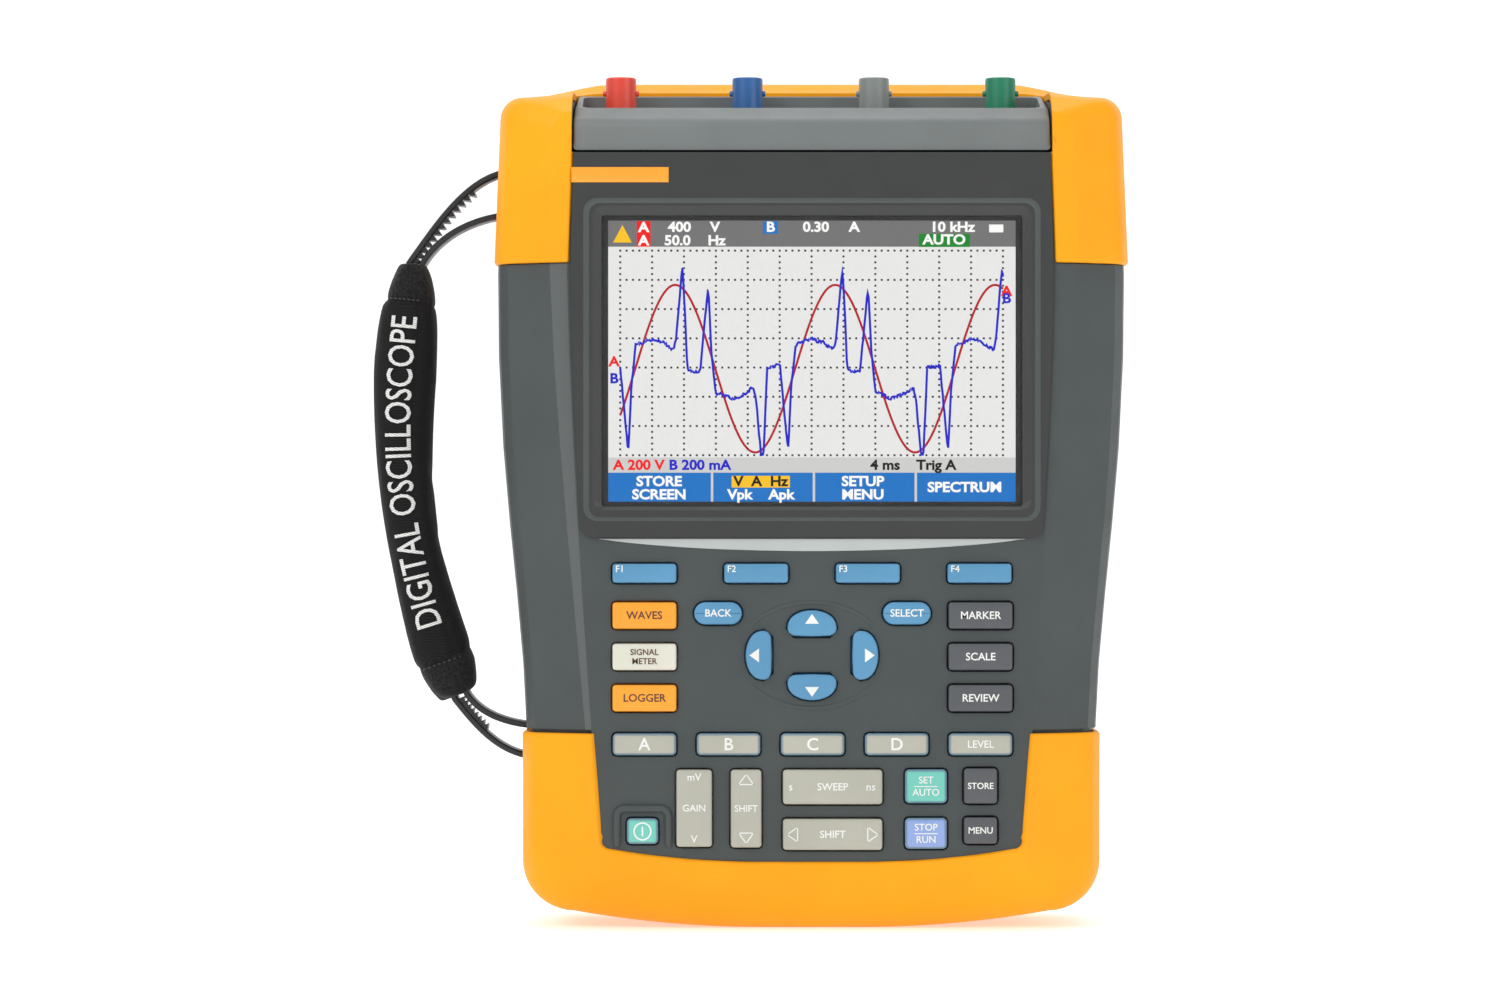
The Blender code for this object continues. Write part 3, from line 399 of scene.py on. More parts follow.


# Depths between which the facet left of the front panel gets a painted highlight.
FACET_DEPTHS = -32.9, -31.65
def facet_painted_highlight_mask(look):
    """One on the narrow facet left of the front panel, which gets a painted highlight, nought elsewhere."""
    depth = look.place("Y")
    behind = look.math("GREATER_THAN", depth, FACET_DEPTHS[0] * MM)
    before = look.math("LESS_THAN", depth, FACET_DEPTHS[1] * MM)
    left = look.math("LESS_THAN", look.place("X"), 0.0)
    return look.times(look.times(behind, before), left)


def moulded(name, colour, roughness, grain=0.35, relief=0.012, ease=0.25, coat=0.0, gloss=0.5, facet=None):
    """Moulded plastic or rubber: fine spark texture, faint mottling, a little uneven gloss, and a painted
    highlight on the case's left facet when facet gives its lighter colour.
    """
    look = Look(name)
    mottle = look.ramp(look.noise(28.0, 4.0), shade(colour, 0.94), shade(colour, 1.06))
    speckle = look.times(look.noise(grain * 1.6, 2.0), 0.16)
    skin = look.mix(speckle, mottle, shade(colour, 0.72))
    # A lighter colour painted on the case's left facet as a highlight.
    if facet:
        skin = look.mix(facet_painted_highlight_mask(look), skin, facet)
    uneven = look.ramp(look.noise(9.0, 5.0), roughness - 0.05, roughness + 0.07)
    look.bump(look.noise(grain, 2.0), relief, 0.8, ease)
    look.set({"Base Color": skin, "Roughness": uneven, "Specular IOR Level": gloss})
    look.set({"Coat Weight": coat, "Coat Roughness": 0.3})
    return look.material


def bumper_look():
    """Yellow elastomer: matt skin with a faint mottling, paler where it is scuffed."""
    look = Look("bumper_yellow_rubber")
    base, worn = (0.93, 0.365, 0.004), (0.95, 0.43, 0.03)
    mottle = look.ramp(look.noise(45.0, 3.0), shade(base, 0.93), shade(base, 1.05))
    scuffs = look.ramp(look.noise(3.0, 6.0, (1.0, 1.0, 0.35)), 0.0, 0.12, 0.62, 0.8)
    uneven = look.ramp(look.noise(6.0, 5.0), 0.40, 0.54)
    look.set({"Base Color": look.mix(scuffs, mottle, worn), "Roughness": uneven})
    look.set({"Specular IOR Level": 0.22})
    look.bump(look.noise(0.5, 3.0), 0.014, 0.7, 0.5)
    return look.material


def lit(name, colour):
    """A lit area of the display, with the faint grid of its dots."""
    look = Look(name, shade(colour, 0.15), 0.35)
    columns, rows = (look.times(look.wave(look.place(axis), 0.33), 0.02) for axis in "XZ")
    level = look.math("ADD", look.math("ADD", columns, rows), 1.0)
    look.set({"Specular IOR Level": 0.1, "Emission Color": colour, "Emission Strength": level})
    return look.material


def metal(name, colour, roughness):
    """Plated metal with fine turning marks."""
    look = Look(name, colour, roughness, 1.0)
    marks = look.noise(0.6, 3.0, (1.0, 1.0, 0.08))
    uneven = look.ramp(marks, roughness - 0.07, roughness + 0.12)
    tone = look.ramp(look.noise(4.0), shade(colour, 0.86), colour)
    look.set({"Base Color": tone, "Roughness": uneven})
    look.bump(marks, 0.01, 0.5, 0.15)
    return look.material


def window_look():
    look = Look("window_clear", (1.0, 1.0, 1.0))
    smear = look.ramp(look.noise(18.0, 5.0), 0.02, 0.07)
    look.set({"Transmission Weight": 1.0, "IOR": 1.3, "Roughness": smear})
    return look.material


def matt_fabric(look, roughness, sheen, sheen_roughness):
    look.set({"Roughness": roughness, "Specular IOR Level": 0.25})
    look.set({"Sheen Weight": sheen, "Sheen Roughness": sheen_roughness})


def fabric_look():
    """Napped black loop fabric: a soft fuzz of fine loops with a sheen at grazing angles."""
    look = Look("loop_fabric")
    fuzz, clumps = look.noise(0.8, 6.0), look.noise(5.0, 3.0)
    base = look.ramp(fuzz, (0.003, 0.003, 0.0035), (0.024, 0.023, 0.024), 0.35, 0.7)
    look.set({"Base Color": look.mix(look.times(clumps, 0.35), base, (0.004, 0.004, 0.005))})
    matt_fabric(look, 0.95, 0.10, 0.5)
    look.bump(look.math("ADD", fuzz, look.times(clumps, 0.6)), 0.30, 1.0)
    return look.material


def neoprene_look():
    """The smooth knitted face of the strap's sleeve: fine ribs of stretch fabric."""
    look = Look("sleeve_fabric")
    weave = look.times(look.wave(look.place("Z"), 0.9), look.wave(look.place("Y"), 0.7))
    height = look.math("ADD", look.times(weave, 0.5), look.noise(0.5, 4.0))
    look.set({"Base Color": look.ramp(height, (0.003, 0.003, 0.0035), (0.012, 0.012, 0.013), 0.2, 0.9)})
    matt_fabric(look, 0.88, 0.06, 0.4)
    look.bump(height, 0.10, 0.9)
    return look.material


def thread_look(name, colour):
    """Thread laid in rows, each a little uneven."""
    look = Look(name, colour, 0.6)
    slant = look.math("ADD", look.place("Z"), look.times(look.place("X"), 0.35))
    twist = look.noise(0.5, 3.0, (0.4, 1.0, 1.6))
    height = look.math("ADD", look.times(look.wave(slant, 0.62), 0.3), twist)
    look.set({"Base Color": look.ramp(height, shade(colour, 0.55), colour, 0.2, 0.65)})
    look.bump(height, 0.12, 0.9)
    return look.material


# The case's own colour, and a lighter copy of it painted on the left facet as a highlight.
CASE_FACET_HIGHLIGHT = (0.095, 0.104, 0.103)
CASE_COLOUR, CASE_FACET_HIGHLIGHT = (0.056, 0.067, 0.067), (0.095, 0.104, 0.103)
CASE_GREY = moulded("case_grey_plastic", CASE_COLOUR, 0.52, relief=0.02, gloss=0.4, facet=CASE_FACET_HIGHLIGHT)
PANEL_GREY = moulded("panel_grey_plastic", (0.155, 0.172, 0.17), 0.42, relief=0.012)
BUMPER = bumper_look()
BEZEL = moulded("bezel_charcoal", (0.038, 0.040, 0.039), 0.34, grain=0.25, relief=0.006, gloss=0.4)
FRAME_GREY = moulded("screen_frame_grey", (0.066, 0.078, 0.076), 0.38, grain=0.25, relief=0.006, gloss=0.4)
SILVER = moulded("trim_silver", (0.46, 0.50, 0.485), 0.34, grain=0.3, relief=0.006, coat=0.2)
BLACK = moulded("black_plastic", (0.012, 0.012, 0.013), 0.5)
RUBBER = moulded("black_rubber", (0.018, 0.018, 0.019), 0.66, grain=0.5, relief=0.03)
STRAP_PLASTIC = moulded("strap_plastic", (0.016, 0.016, 0.018), 0.40, relief=0.015)
BOARD = moulded("circuit_board", (0.02, 0.16, 0.06), 0.45)
WINDOW = window_look()
STEEL = metal("plated_steel", (0.62, 0.62, 0.60), 0.32)
BRASS = metal("contact_gold", (0.80, 0.60, 0.28), 0.3)
LOOP_FABRIC = fabric_look()
SLEEVE_FABRIC = neoprene_look()
WHITE_THREAD = thread_look("white_thread", (0.78, 0.78, 0.76))
DARK_THREAD = thread_look("dark_thread", (0.055, 0.055, 0.06))
KEY_COLOURS = {
    "key_blue": (0.088, 0.28, 0.475),
    "key_orange": (0.93, 0.345, 0.018),
    "key_ivory": (0.68, 0.67, 0.57),
    "key_dark": (0.082, 0.088, 0.098),
    "key_stone": (0.43, 0.43, 0.36),
    "key_green": (0.16, 0.56, 0.47),
    "key_lilac": (0.26, 0.37, 0.70),
}
KEY_LOOKS = {
    name: moulded(f"{name}_silicone", colour, 0.40, grain=0.3, relief=0.006, ease=0.2, coat=0.08)
    for name, colour in KEY_COLOURS.items()
}
SKIRT = moulded("key_skirt", (0.16, 0.27, 0.36), 0.35, grain=0.3, relief=0.004)
WHITE_INK = moulded("white_ink", (0.80, 0.81, 0.78), 0.5, grain=0.2, relief=0.004, ease=0.0)
DARK_INK = moulded("dark_ink", (0.09, 0.035, 0.02), 0.5, grain=0.2, relief=0.004, ease=0.0)
SOCKET_COLOURS = {
    "red": (0.85, 0.066, 0.036),
    "blue": (0.018, 0.125, 0.37),
    "grey": (0.235, 0.26, 0.25),
    "green": (0.004, 0.235, 0.12),
}
SOCKET_LOOKS = {
    f"input_socket_{letter}": moulded(f"socket_{name}", colour, 0.36, coat=0.15)
    for letter, (name, colour) in zip("abcd", SOCKET_COLOURS.items())
}

# ---------------------------------------------------------------- the body's form

HALF_WIDTH, SIDE_TAPER, SIDE_TAPER_LENGTH = 98.4, 9.0, 150.0
WAIST, TOP_TAPER = 204.5, 2.1
PANEL_HALF, PANEL_TAPER, PANEL_TAPER_LENGTH, PANEL_TOP_TAPER = 75.6, 10.5, 183.0, 1.1
FRONT, REAR = -33.0, 31.0
FLAT_FOOT, PANEL_BOW, BOTTOM_BOW = 16.0, 4.0, 5.2
TOP_RADIUS, PANEL_RADIUS, BOTTOM_RADIUS = 7.0, 3.0, 14.5
SHOULDER_FROM = 64.0
BUMPER_OUT = 1.2
BUMPER_WALL = 2.1
TOP_BUMPER_FROM, BOTTOM_BUMPER_TO = 207.3, 61.1
COLUMN_INNER = (75.65, 74.65)
ROOF = 241.95

# Sections of the body from the front panel to the rear: depth, share of the way from panel to
# silhouette, lowest and highest point, drop of the shoulders. The facet's share is worked out.
SECTIONS = (
    (-31.6, 0.2, 17.0, 254.5, 1.6),
    (-27.5, 0.55, 10.5, 257.5, 1.8),
    (-24.0, 0.84, 5.0, 259.2, 2.0),
    (-19.0, 0.96, 1.2, 260.4, 2.2),
    (-13.0, 1.0, 1.2, 261.2, 2.4),
    (12.0, 1.0, 1.2, 262.6, 2.8),
    (22.0, 0.97, 1.2, 266.0, 3.8),
    (27.5, 0.88, 4.5, 266.3, 4.2),
    (REAR, 0.70, 10.5, 262.5, 4.2),
)
PANEL_SECTION = (FRONT, 0.0, 21.5, 250.0, 1.5)
REAR_BORDER = (REAR, 0.0, 21.5, 250.0, 1.5)


def clamp(value):
    return min(1.0, max(0.0, value))


def silhouette_half(z):
    """Half width of the body seen from the front."""
    share = clamp((WAIST - z) / SIDE_TAPER_LENGTH) ** 1.25
    below = SIDE_TAPER * (1 - math.cos(math.pi * share)) / 2
    return HALF_WIDTH - below - TOP_TAPER * clamp((z - WAIST) / 50.0)


def panel_half(z):
    """Half width of the flat front panel."""
    below = PANEL_TAPER * clamp((WAIST - z) / PANEL_TAPER_LENGTH) ** 1.4
    return PANEL_HALF - below - PANEL_TOP_TAPER * clamp((z - WAIST) / 35.0)


def column_inner(z):
    """Half width between the upper bumper's legs."""
    share = clamp((z - TOP_BUMPER_FROM) / (ROOF - TOP_BUMPER_FROM))
    return COLUMN_INNER[0] + (COLUMN_INNER[1] - COLUMN_INNER[0]) * share


FACET_SHARE = 0.2
def half_at(z, share):
    """Half width at a height. Up to FACET_SHARE the facet's own edge sets it."""
    facet = 0.03 + 0.23 * clamp(z / WAIST)
    if share <= FACET_SHARE:
        real = facet * share / FACET_SHARE
    else:
        real = facet + (1 - facet) * (share - FACET_SHARE) / (1 - FACET_SHARE)
    return panel_half(z) + (silhouette_half(z) - panel_half(z)) * real


def smooth_sections():
    """The sections from the facet to the rear as a smooth run, with the front panel's edge first."""
    points = [np.array(s) for s in SECTIONS]
    points = [2 * points[0] - points[1]] + points + [2 * points[-1] - points[-2]]
    run = []
    for i in range(1, len(points) - 2):
        p0, p1, p2, p3 = points[i - 1 : i + 3]
        square, cube = 2 * p0 - 5 * p1 + 4 * p2 - p3, 3 * p1 - p0 - 3 * p2 + p3
        for t in (0, 0.06, 0.25, 0.5, 0.75) if i == 1 else (0, 0.25, 0.5, 0.75):
            run.append(0.5 * (2 * p1 + (p2 - p0) * t + square * t**2 + cube * t**3))
    run.append(points[-2])
    for row in run:
        row[1] = min(1.0, row[1])
        row[2] = max(1.2, row[2])
    return run


def lower_run(section, grow):
    """A section's run of (x, z) over the lower bumper, from its right side round to its left."""
    _, share, low, _, _ = section
    top = BOTTOM_BUMPER_TO - EDGE_ROLL
    low -= grow
    radius = PANEL_RADIUS + (BOTTOM_RADIUS - PANEL_RADIUS) * min(1.0, share) + grow
    side = half_at(low + radius, share) + grow
    corner = side - radius
    bow_depth = PANEL_BOW + (BOTTOM_BOW - PANEL_BOW) * clamp(share)
    centre = low + bow_depth + radius
    points = [(half_at(z, share) + grow, z) for z in np.linspace(top, centre + 1.0, 12)]
    points += arc((corner, centre), (radius, radius), 0, -90, 12)
    for x in np.linspace(corner, 0, 16)[1:]:
        bow = max(0.0, (x - FLAT_FOOT) / (corner - FLAT_FOOT))
        points.append((x, low + bow_depth * bow**2))
    return mirrored(points)


def upper_run(section, grow):
    """A section's run of (x, z) over the upper bumper, from its right side round to its left."""
    _, share, _, high, drop = section
    start = TOP_BUMPER_FROM + EDGE_ROLL
    high += grow
    shoulder = high - drop
    edge = half_at(shoulder - TOP_RADIUS, share) + grow
    corner = edge - TOP_RADIUS
    straight = np.linspace(start, shoulder - TOP_RADIUS - 0.8, 14)
    points = [(half_at(z, share) + grow, z) for z in straight]
    points += arc((corner, shoulder - TOP_RADIUS), (TOP_RADIUS, TOP_RADIUS), 0, 90, 9)
    for x in np.linspace(corner, 0, 18)[1:]:
        u = clamp((x - SHOULDER_FROM) / (corner - SHOULDER_FROM))
        points.append((x, high - drop * u * u * (3 - 2 * u)))
    return mirrored(points)


def mirrored(points):
    """A right half as a whole run of (x, z) from the right side round to the left."""
    return points + [(-x, z) for x, z in reversed(points[:-1])]


def grid_normals(grid):
    normals = np.cross(np.gradient(grid, axis=0), np.gradient(grid, axis=1))
    if ((grid - grid.mean(axis=(0, 1))) * normals).sum() < 0:
        normals = -normals
    return normals / np.maximum(np.linalg.norm(normals, axis=2, keepdims=True), 1e-9)


def rolled_shell(rows, radius, wall, steps=3):
    """A skin over a grid of points, thickened inwards, whose four free edges roll inwards.

    Returns (vertices, faces). The edges' roll reaches one radius past the grid."""
    flat = skin = np.array([[(x, y, z) for x, z, y in row] for row in rows], float)
    base = normal = grid_normals(skin)
    for axis in (0, 1):
        skin, flat, normal, base = (np.moveaxis(a, axis, 0) for a in (skin, flat, normal, base))
        ends = []
        for first, second in ((0, 1), (-1, -2)):
            out = skin[first] - skin[second]
            out /= np.maximum(np.linalg.norm(out, axis=1, keepdims=True), 1e-9)
            rolls = []
            for k in range(1, steps + 1):
                sin, cos = math.sin(math.pi / 2 * k / steps), math.cos(math.pi / 2 * k / steps)
                curl = skin[first] + out * radius * sin - normal[first] * radius * (1 - cos)
                rolls.append((curl, flat[first] + out * radius * sin, normal[first] * cos + out * sin))
            ends.append([np.array(run) for run in zip(*rolls)])
        grids = zip(ends[0], (skin, flat, normal), ends[1])
        skin, flat, normal = (np.concatenate([head[::-1], grid, tail]) for head, grid, tail in grids)
        base = np.concatenate([np.repeat(base[:1], steps, 0), base, np.repeat(base[-1:], steps, 0)])
        skin, flat, normal, base = (np.moveaxis(a, 0, axis) for a in (skin, flat, normal, base))
    inner = flat - base * wall
    height, width = skin.shape[:2]
    verts = [Vector(p) for p in np.concatenate([skin.reshape(-1, 3), inner.reshape(-1, 3)])]
    total = height * width
    faces = []
    for i in range(height - 1):
        for j in range(width - 1):
            a, b = i * width + j, (i + 1) * width + j
            faces.append((a, a + 1, b + 1, b))
            faces.append((total + a, total + b, total + b + 1, total + a + 1))
    rim = list(range(width)) + [i * width + width - 1 for i in range(1, height)]
    rim += [(height - 1) * width + j for j in range(width - 2, -1, -1)]
    rim += [i * width for i in range(height - 2, 0, -1)]
    for a, b in zip(rim, rim[1:] + rim[:1]):
        faces.append((a, b, b + total, a + total))
    return verts, faces


def foot_pad(x, z, top):
    """A rear foot: a pad with eased edges, as (vertices, faces)."""
    outline = rounded_rectangle((x, z), (11.0, 7.0), 1.6)
    return loft_data(stepped(outline, ((REAR - 0.5, 0.0), (top - 0.7, 0.0), (top - 0.2, 0.2), (top, 0.7))))


EDGE_ROLL = 0.9


BORDER_DROP = 0.45
def grown(y, out=BUMPER_OUT):
    """A section's depth, moved out in step with the bumper's skin."""
    return y * (1 + out / abs(FRONT))


def tight_row(rows, facet):
    """A row just before the facet's edge, which keeps the crease there crisp."""
    y = grown(SECTIONS[0][0])
    mix = 0.9
    row = []
    for (x0, z0, y0), (x1, z1) in zip(rows[-1], facet):
        row.append((x0 + (x1 - x0) * mix, z0 + (z1 - z0) * mix, y0 + (y - y0) * mix))
    rows.append(row)


def skin_rows(rows, run):
    """Adds a bumper's rows from the front panel's edge to the rear, as run() follows each section."""
    tight_row(rows, run(SECTIONS[0], BUMPER_OUT))
    for section in smooth_sections():
        rows.append([(x, z, grown(section[0])) for x, z in run(section, BUMPER_OUT)])


def bumper(name, node, rows, tools, foot):
    """Thickens a bumper's rows, cuts its openings and sets two rear feet on it."""
    data = rolled_shell(rows, EDGE_ROLL, BUMPER_WALL)
    made = finish_mesh(name, mesh_of(name, *data), BUMPER, None)
    cut(made, tools)
    top = node_box(node)[1][1]
    seat(made, node, [foot_pad(side * foot[0], foot[1], top) for side in (-1, 1)])


def bottom_bumper():
    """The lower bumper: flanks, corners and foot, and a border round the front and the rear."""
    panel = lower_run(PANEL_SECTION, BORDER_DROP + EDGE_ROLL)
    rows = [[(x, z, grown(FRONT, BUMPER_OUT - 0.1)) for x, z in panel]]
    skin_rows(rows, lower_run)
    last = rows[-1]
    y = last[0][2] + 0.25
    rear = lower_run(REAR_BORDER, BORDER_DROP + EDGE_ROLL)
    for share in (0.25, 0.6, 1.0):
        pairs = zip(last, rear)
        rows.append([(a[0] + (b[0] - a[0]) * share, a[1] + (b[1] - a[1]) * share, y) for a, b in pairs])
    bumper("lower_bumper", "bottom_bumper", rows, [mouth_cutter("strap_anchor_lower")], (74.0, 38.0))


def seat(made, node, extras=()):
    """Adds loose closed shapes to an object, and lets it stand for a CAD node."""
    if extras:
        bm = bmesh.new()
        bm.from_mesh(made.data)
        for data in extras:
            mesh = mesh_of("extra", *data)
            mesh.shade_smooth()
            bm.from_mesh(mesh)
            bpy.data.meshes.remove(mesh)
        bm.to_mesh(made.data)
        bm.free()
        made.data.set_sharp_from_angle(angle=math.radians(40))
    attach(made, BODY_OF[node])
    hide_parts(node)


def mouth_cutter(anchor):
    """The opening in a bumper that a strap anchor's cup fills, with eased corners."""
    low, high = node_box(anchor)
    centre = ((low[1] + high[1]) / 2, (low[2] + high[2]) / 2)
    outline = rounded_rectangle(centre, (high[1] - low[1] + 0.5, high[2] - low[2] + 0.5), 2.2)
    return loft_data([[Vector((x, y, z)) for y, z in outline] for x in (low[0] - 14, high[0] + 1)])


def rear_border(x, z, share):
    """A point moved this share of the way from the skin to the border of the legs and the roof."""
    inner = column_inner(z) + EDGE_ROLL
    flat_x = math.copysign(min(abs(x), inner), x)
    flat_z = z if abs(x) > inner + 2 and z < ROOF else min(z, ROOF + EDGE_ROLL)
    return x + (flat_x - x) * share, z + (flat_z - z) * share


def top_bumper():
    """The upper bumper: two legs beside the screen, joined by a rim behind the input sockets."""
    front = upper_run(PANEL_SECTION, BUMPER_OUT)
    y = grown(FRONT, BUMPER_OUT - 0.1)
    legs = [(math.copysign(min(abs(x), column_inner(z) + EDGE_ROLL), x), z, y) for x, z in front]
    rows = [legs, [(x, z, y + 0.05) for x, z in front]]
    skin_rows(rows, upper_run)
    edge, y = rows[-1], rows[-1][0][2] + 0.25
    for share in (0.3, 0.65, 1.0):
        rows.append([(*rear_border(x, z, share), y) for x, z, _ in edge])
    low, high = node_box("input_panel")
    outline = rounded_rectangle((0, (high[1] - 60) / 2), (high[0] * 2 + 1.0, high[1] + 60 + 1.2), 2.5)
    opening = loft_data([[Vector((x, y, z)) for x, y in outline] for z in (low[2] - 0.6, 300.0)])
    bumper("upper_bumper", "top_bumper", rows, [opening, mouth_cutter("strap_anchor_upper")], (83.5, 232.0))


bottom_bumper()
top_bumper()

# ---------------------------------------------------------------- input panel and sockets


def input_panel():
    """The grey moulding over the screen: a brow, sloping ends and a recess for the sockets."""
    low, high = node_box("input_panel")
    low_z, high_z = low[2], high[2]
    front, rear = low[1], high[1]
    brow = [(front, low_z), (front + 0.15, low_z + 2.4), (front + 0.8, low_z + 6.4)]
    for angle in np.radians(np.linspace(0, 62, 7)):
        brow.append((front + 0.8 + 3.4 * (1 - math.cos(angle)), low_z + 6.4 + 4.6 * math.sin(angle)))
    last = brow[-1]
    brow += [(last[0] + 2.2, last[1] + 0.95), (front + 8.8, low_z + 13.7), (7.0, high_z - 0.6)]
    brow += [(rear - 0.6, high_z), (rear, high_z - 0.6), (rear, low_z)]
    half = high[0]
    ends = [(-half, 1.0), (-half + 0.3, 0.3), (-half + 1.0, 0.0)]
    ends += [(half - 1.0, 0.0), (half - 0.3, 0.3), (half, 1.0)]
    rings = [[Vector((x, *p)) for p in inset(brow, back)] for x, back in ends]
    made = loft("input_panel_shell", rings, [PANEL_GREY, BLACK], None)
    floor_z = low_z + 4.2
    recess = []
    for z, grow in ((floor_z, 0.0), (floor_z + 6, 1.2), (high_z + 12, 3.4)):
        outline = rounded_rectangle((0, -8.5), (140 + 2 * grow, 27.5 + 1.4 * grow), 3.4)
        recess.append([Vector((x, y, z)) for x, y in outline])
    bore = [(0, low_z - 5), (5.0, low_z - 5), (5.0, floor_z + 5), (0, floor_z + 5)]
    cut(made, [loft_data(recess)] + [turned_data(bore, socket_place(node)) for node in SOCKET_LOOKS])
    seat(made, "input_panel")


def socket_place(node):
    low, high = node_box(node)
    return (low[0] + high[0]) / 2, (low[1] + high[1]) / 2


def input_socket(node, look):
    """An insulated bayonet socket: ribbed collar, barrel with two lugs, gold contact in a sleeve."""
    low, high = node_box(node)
    place = socket_place(node)
    top, collar = high[2], low[2] + 10.3
    shell = [(0, low[2]), (4.6, low[2]), (4.6, collar - 2.0), (6.4, collar - 2.0), (6.4, collar - 0.4)]
    shell += [(6.0, collar), (5.2, collar + 0.15), (4.8, collar + 0.6), (4.8, top - 1.2), (4.75, top - 0.3)]
    shell += [(4.45, top), (4.15, top), (4.0, top - 0.25), (4.0, top - 9.2), (2.9, top - 9.5), (0, top - 9.5)]
    sleeve_turn = ((0, 9.6), (1.9, 9.6), (1.9, 2.6), (1.7, 2.4), (1.2, 2.4), (1.1, 2.6), (1.1, 8.8), (0, 8.8))
    liner = ((0, 9.55), (3.97, 9.55), (3.97, 0.7), (3.6, 0.9), (3.6, 9.2), (0, 9.2))
    pin = ((0, 9.0), (0.75, 9.0), (0.75, 3.4), (0.4, 3.0), (0, 2.95))
    parts = [(*turned_data(shell, place, steps=56), 0)]
    for slot, (depths, steps) in enumerate(((liner, 40), (sleeve_turn, 24), (pin, 16)), 1):
        profile = [(radius, top - down) for radius, down in depths]
        parts.append((*turned_data(profile, place, steps=steps), slot))
    for side in (-1, 1):
        reach = [place[0] + side * out for out in (4.4, 5.4, 5.7)]
        profile = [(0, reach[0]), (0.95, reach[0]), (0.95, reach[1]), (0.7, reach[2]), (0, reach[2])]
        parts.append((*turned_data(profile, (place[1], top - 4.9), "X", 20), 0))
    for at in circle(place, 4.83, 24):
        rib = circle(at, 0.16, 6)
        rings = [[Vector((x, y, z)) for x, y in rib] for z in (collar + 0.7, collar + 3.6)]
        parts.append((*loft_data(rings), 0))
    seat(multi(node + "_shell", parts, [look, STEEL, BLACK, BRASS], None), node)


def frame_slot(node):
    return next(s["material_slot"] for s in frame["record"]["subparts"] if s["node"] == node)


# ---------------------------------------------------------------- screen


def dress_node(node, look, ease=0.0, smooth=30.0):
    """Gives a CAD node its material and smooth shading, and eases its sharp edges."""
    part = NODES[node]
    part.data.materials.clear()
    part.data.materials.append(look)
    soften(part.data, smooth)
    if ease:
        edges = part.modifiers.new("eased_edges", "BEVEL")
        edges.width, edges.segments, edges.limit_method = ease * MM, 2, "ANGLE"
        edges.angle_limit = math.radians(35)
        edges.harden_normals = True
    return part


def bezel():
    """The charcoal plate round the screen, a raised frame on it and the silver trim below it."""
    low, high = node_box("display_bezel")
    face = low[1]
    dress_node("display_bezel", BEZEL, 0.35)
    dark_low, dark_high = node_box("lcd_panel")
    x, z = middle_of("lcd_panel")
    opening = (dark_high[0] - dark_low[0] - 1.2, dark_high[2] - dark_low[2] - 1.2)
    steps = (
        (5.9, 1.6, 0.9, 0.30),
        (5.6, 1.4, 0.9, -0.12),
        (4.7, 0.9, 0.6, -0.22),
        (4.2, 0.7, 0.5, -0.10),
        (1.6, 0.2, 0.0, 0.75),
        (0.0, 0.0, 0.0, 1.15),
        (0.0, 0.0, 0.0, 2.3),
        (5.9, 1.6, 0.9, 2.3),
    )
    rings = []
    for grow, more, lift, depth in steps:
        size = (opening[0] + 2 * grow, opening[1] + 2 * (grow - more) + more)
        outline = rounded_rectangle((x, z + lift * 0.5), size, 0.9 + grow * 0.62, 6)
        rings.append([Vector((x, face + depth, z)) for x, z in outline])
    loft("screen_frame", rings, FRAME_GREY, "root", closed=True, slot="bezel_charcoal")

    half, drop = 66.0, 3.9
    edge_z = low[2] - 0.45
    outline = [(half, edge_z), (-half, edge_z)]
    for u in np.linspace(-1, 1, 33)[1:-1]:
        outline.append((half * u, edge_z - drop * (1 - u * u) ** 0.8))
    rings = stepped(outline, ((FRONT + 0.2, 0), (FRONT - 0.22, 0), (FRONT - 0.35, 0.15)))
    loft("lower_trim", rings, SILVER, "root", slot="panel_grey")

    stripe = corners(low[0] + 0.35, high[2] - 9.2, low[0] + 30.5, high[2] - 4.5)
    rings = stepped(stripe, ((face + 0.3, 0.0), (face - 0.12, 0.0), (face - 0.2, 0.12)))
    loft("accent_stripe", rings, KEY_LOOKS["key_orange"], "root", slot="key_orange")


def ribbon(points, width, front):
    """A flat line of even width through (x, z) points on the display, as (vertices, faces)."""
    rings = []
    for i, place in enumerate(points):
        side = sideways(points, i) * width / 2
        a, b = Vector(place) + side, Vector(place) - side
        back = front + 0.02
        rings.append([Vector((p[0], y, p[1])) for p, y in ((a, front), (b, front), (b, back), (a, back))])
    return loft_data(rings)


SWITCHING = (
    (0.0, 0.23), (0.10, 0.29), (0.18, 0.25), (0.24, 0.18), (0.255, 0.29), (0.295, 1.0), (0.31, 0.57),
    (0.325, -0.01), (0.405, -0.03), (0.43, 0.38), (0.456, 0.81), (0.475, 0.19), (0.50, -0.20),
)


def stepped_wave(turn, rng):
    """The switched current at some turns: noisy plateaus with a pair of spikes in each half turn."""
    half = turn % 0.5
    sign = 1 if turn % 1.0 < 0.5 else -1
    level = float(np.interp(half, [k[0] for k in SWITCHING], [k[1] for k in SWITCHING]))
    return sign * level + rng.uniform(-0.022, 0.022)


SCREEN_COLOURS = (
    ("paper", (0.73, 0.73, 0.72)), ("bar", (0.155, 0.155, 0.158)), ("info", (0.56, 0.56, 0.55)),
    ("blue", (0.006, 0.155, 0.50)), ("black", (0.006, 0.006, 0.006)), ("red", (0.80, 0.005, 0.005)),
    ("trace_red", (0.42, 0.004, 0.006)), ("trace_blue", (0.008, 0.010, 0.52)),
    ("white", (0.88, 0.88, 0.86)), ("yellow", (0.88, 0.50, 0.01)), ("green", (0.004, 0.22, 0.02)),
)
# Shares of the picture's width and height: the bars' edges, the grid's reach and a dot's half size.
BAR_LOW, INFO_HIGH, KEYS_HIGH = 0.907, 0.157, 0.103
GRID_X, GRID_Z, DOT = (0.0295, 0.969), (0.165, 0.893), 0.0025
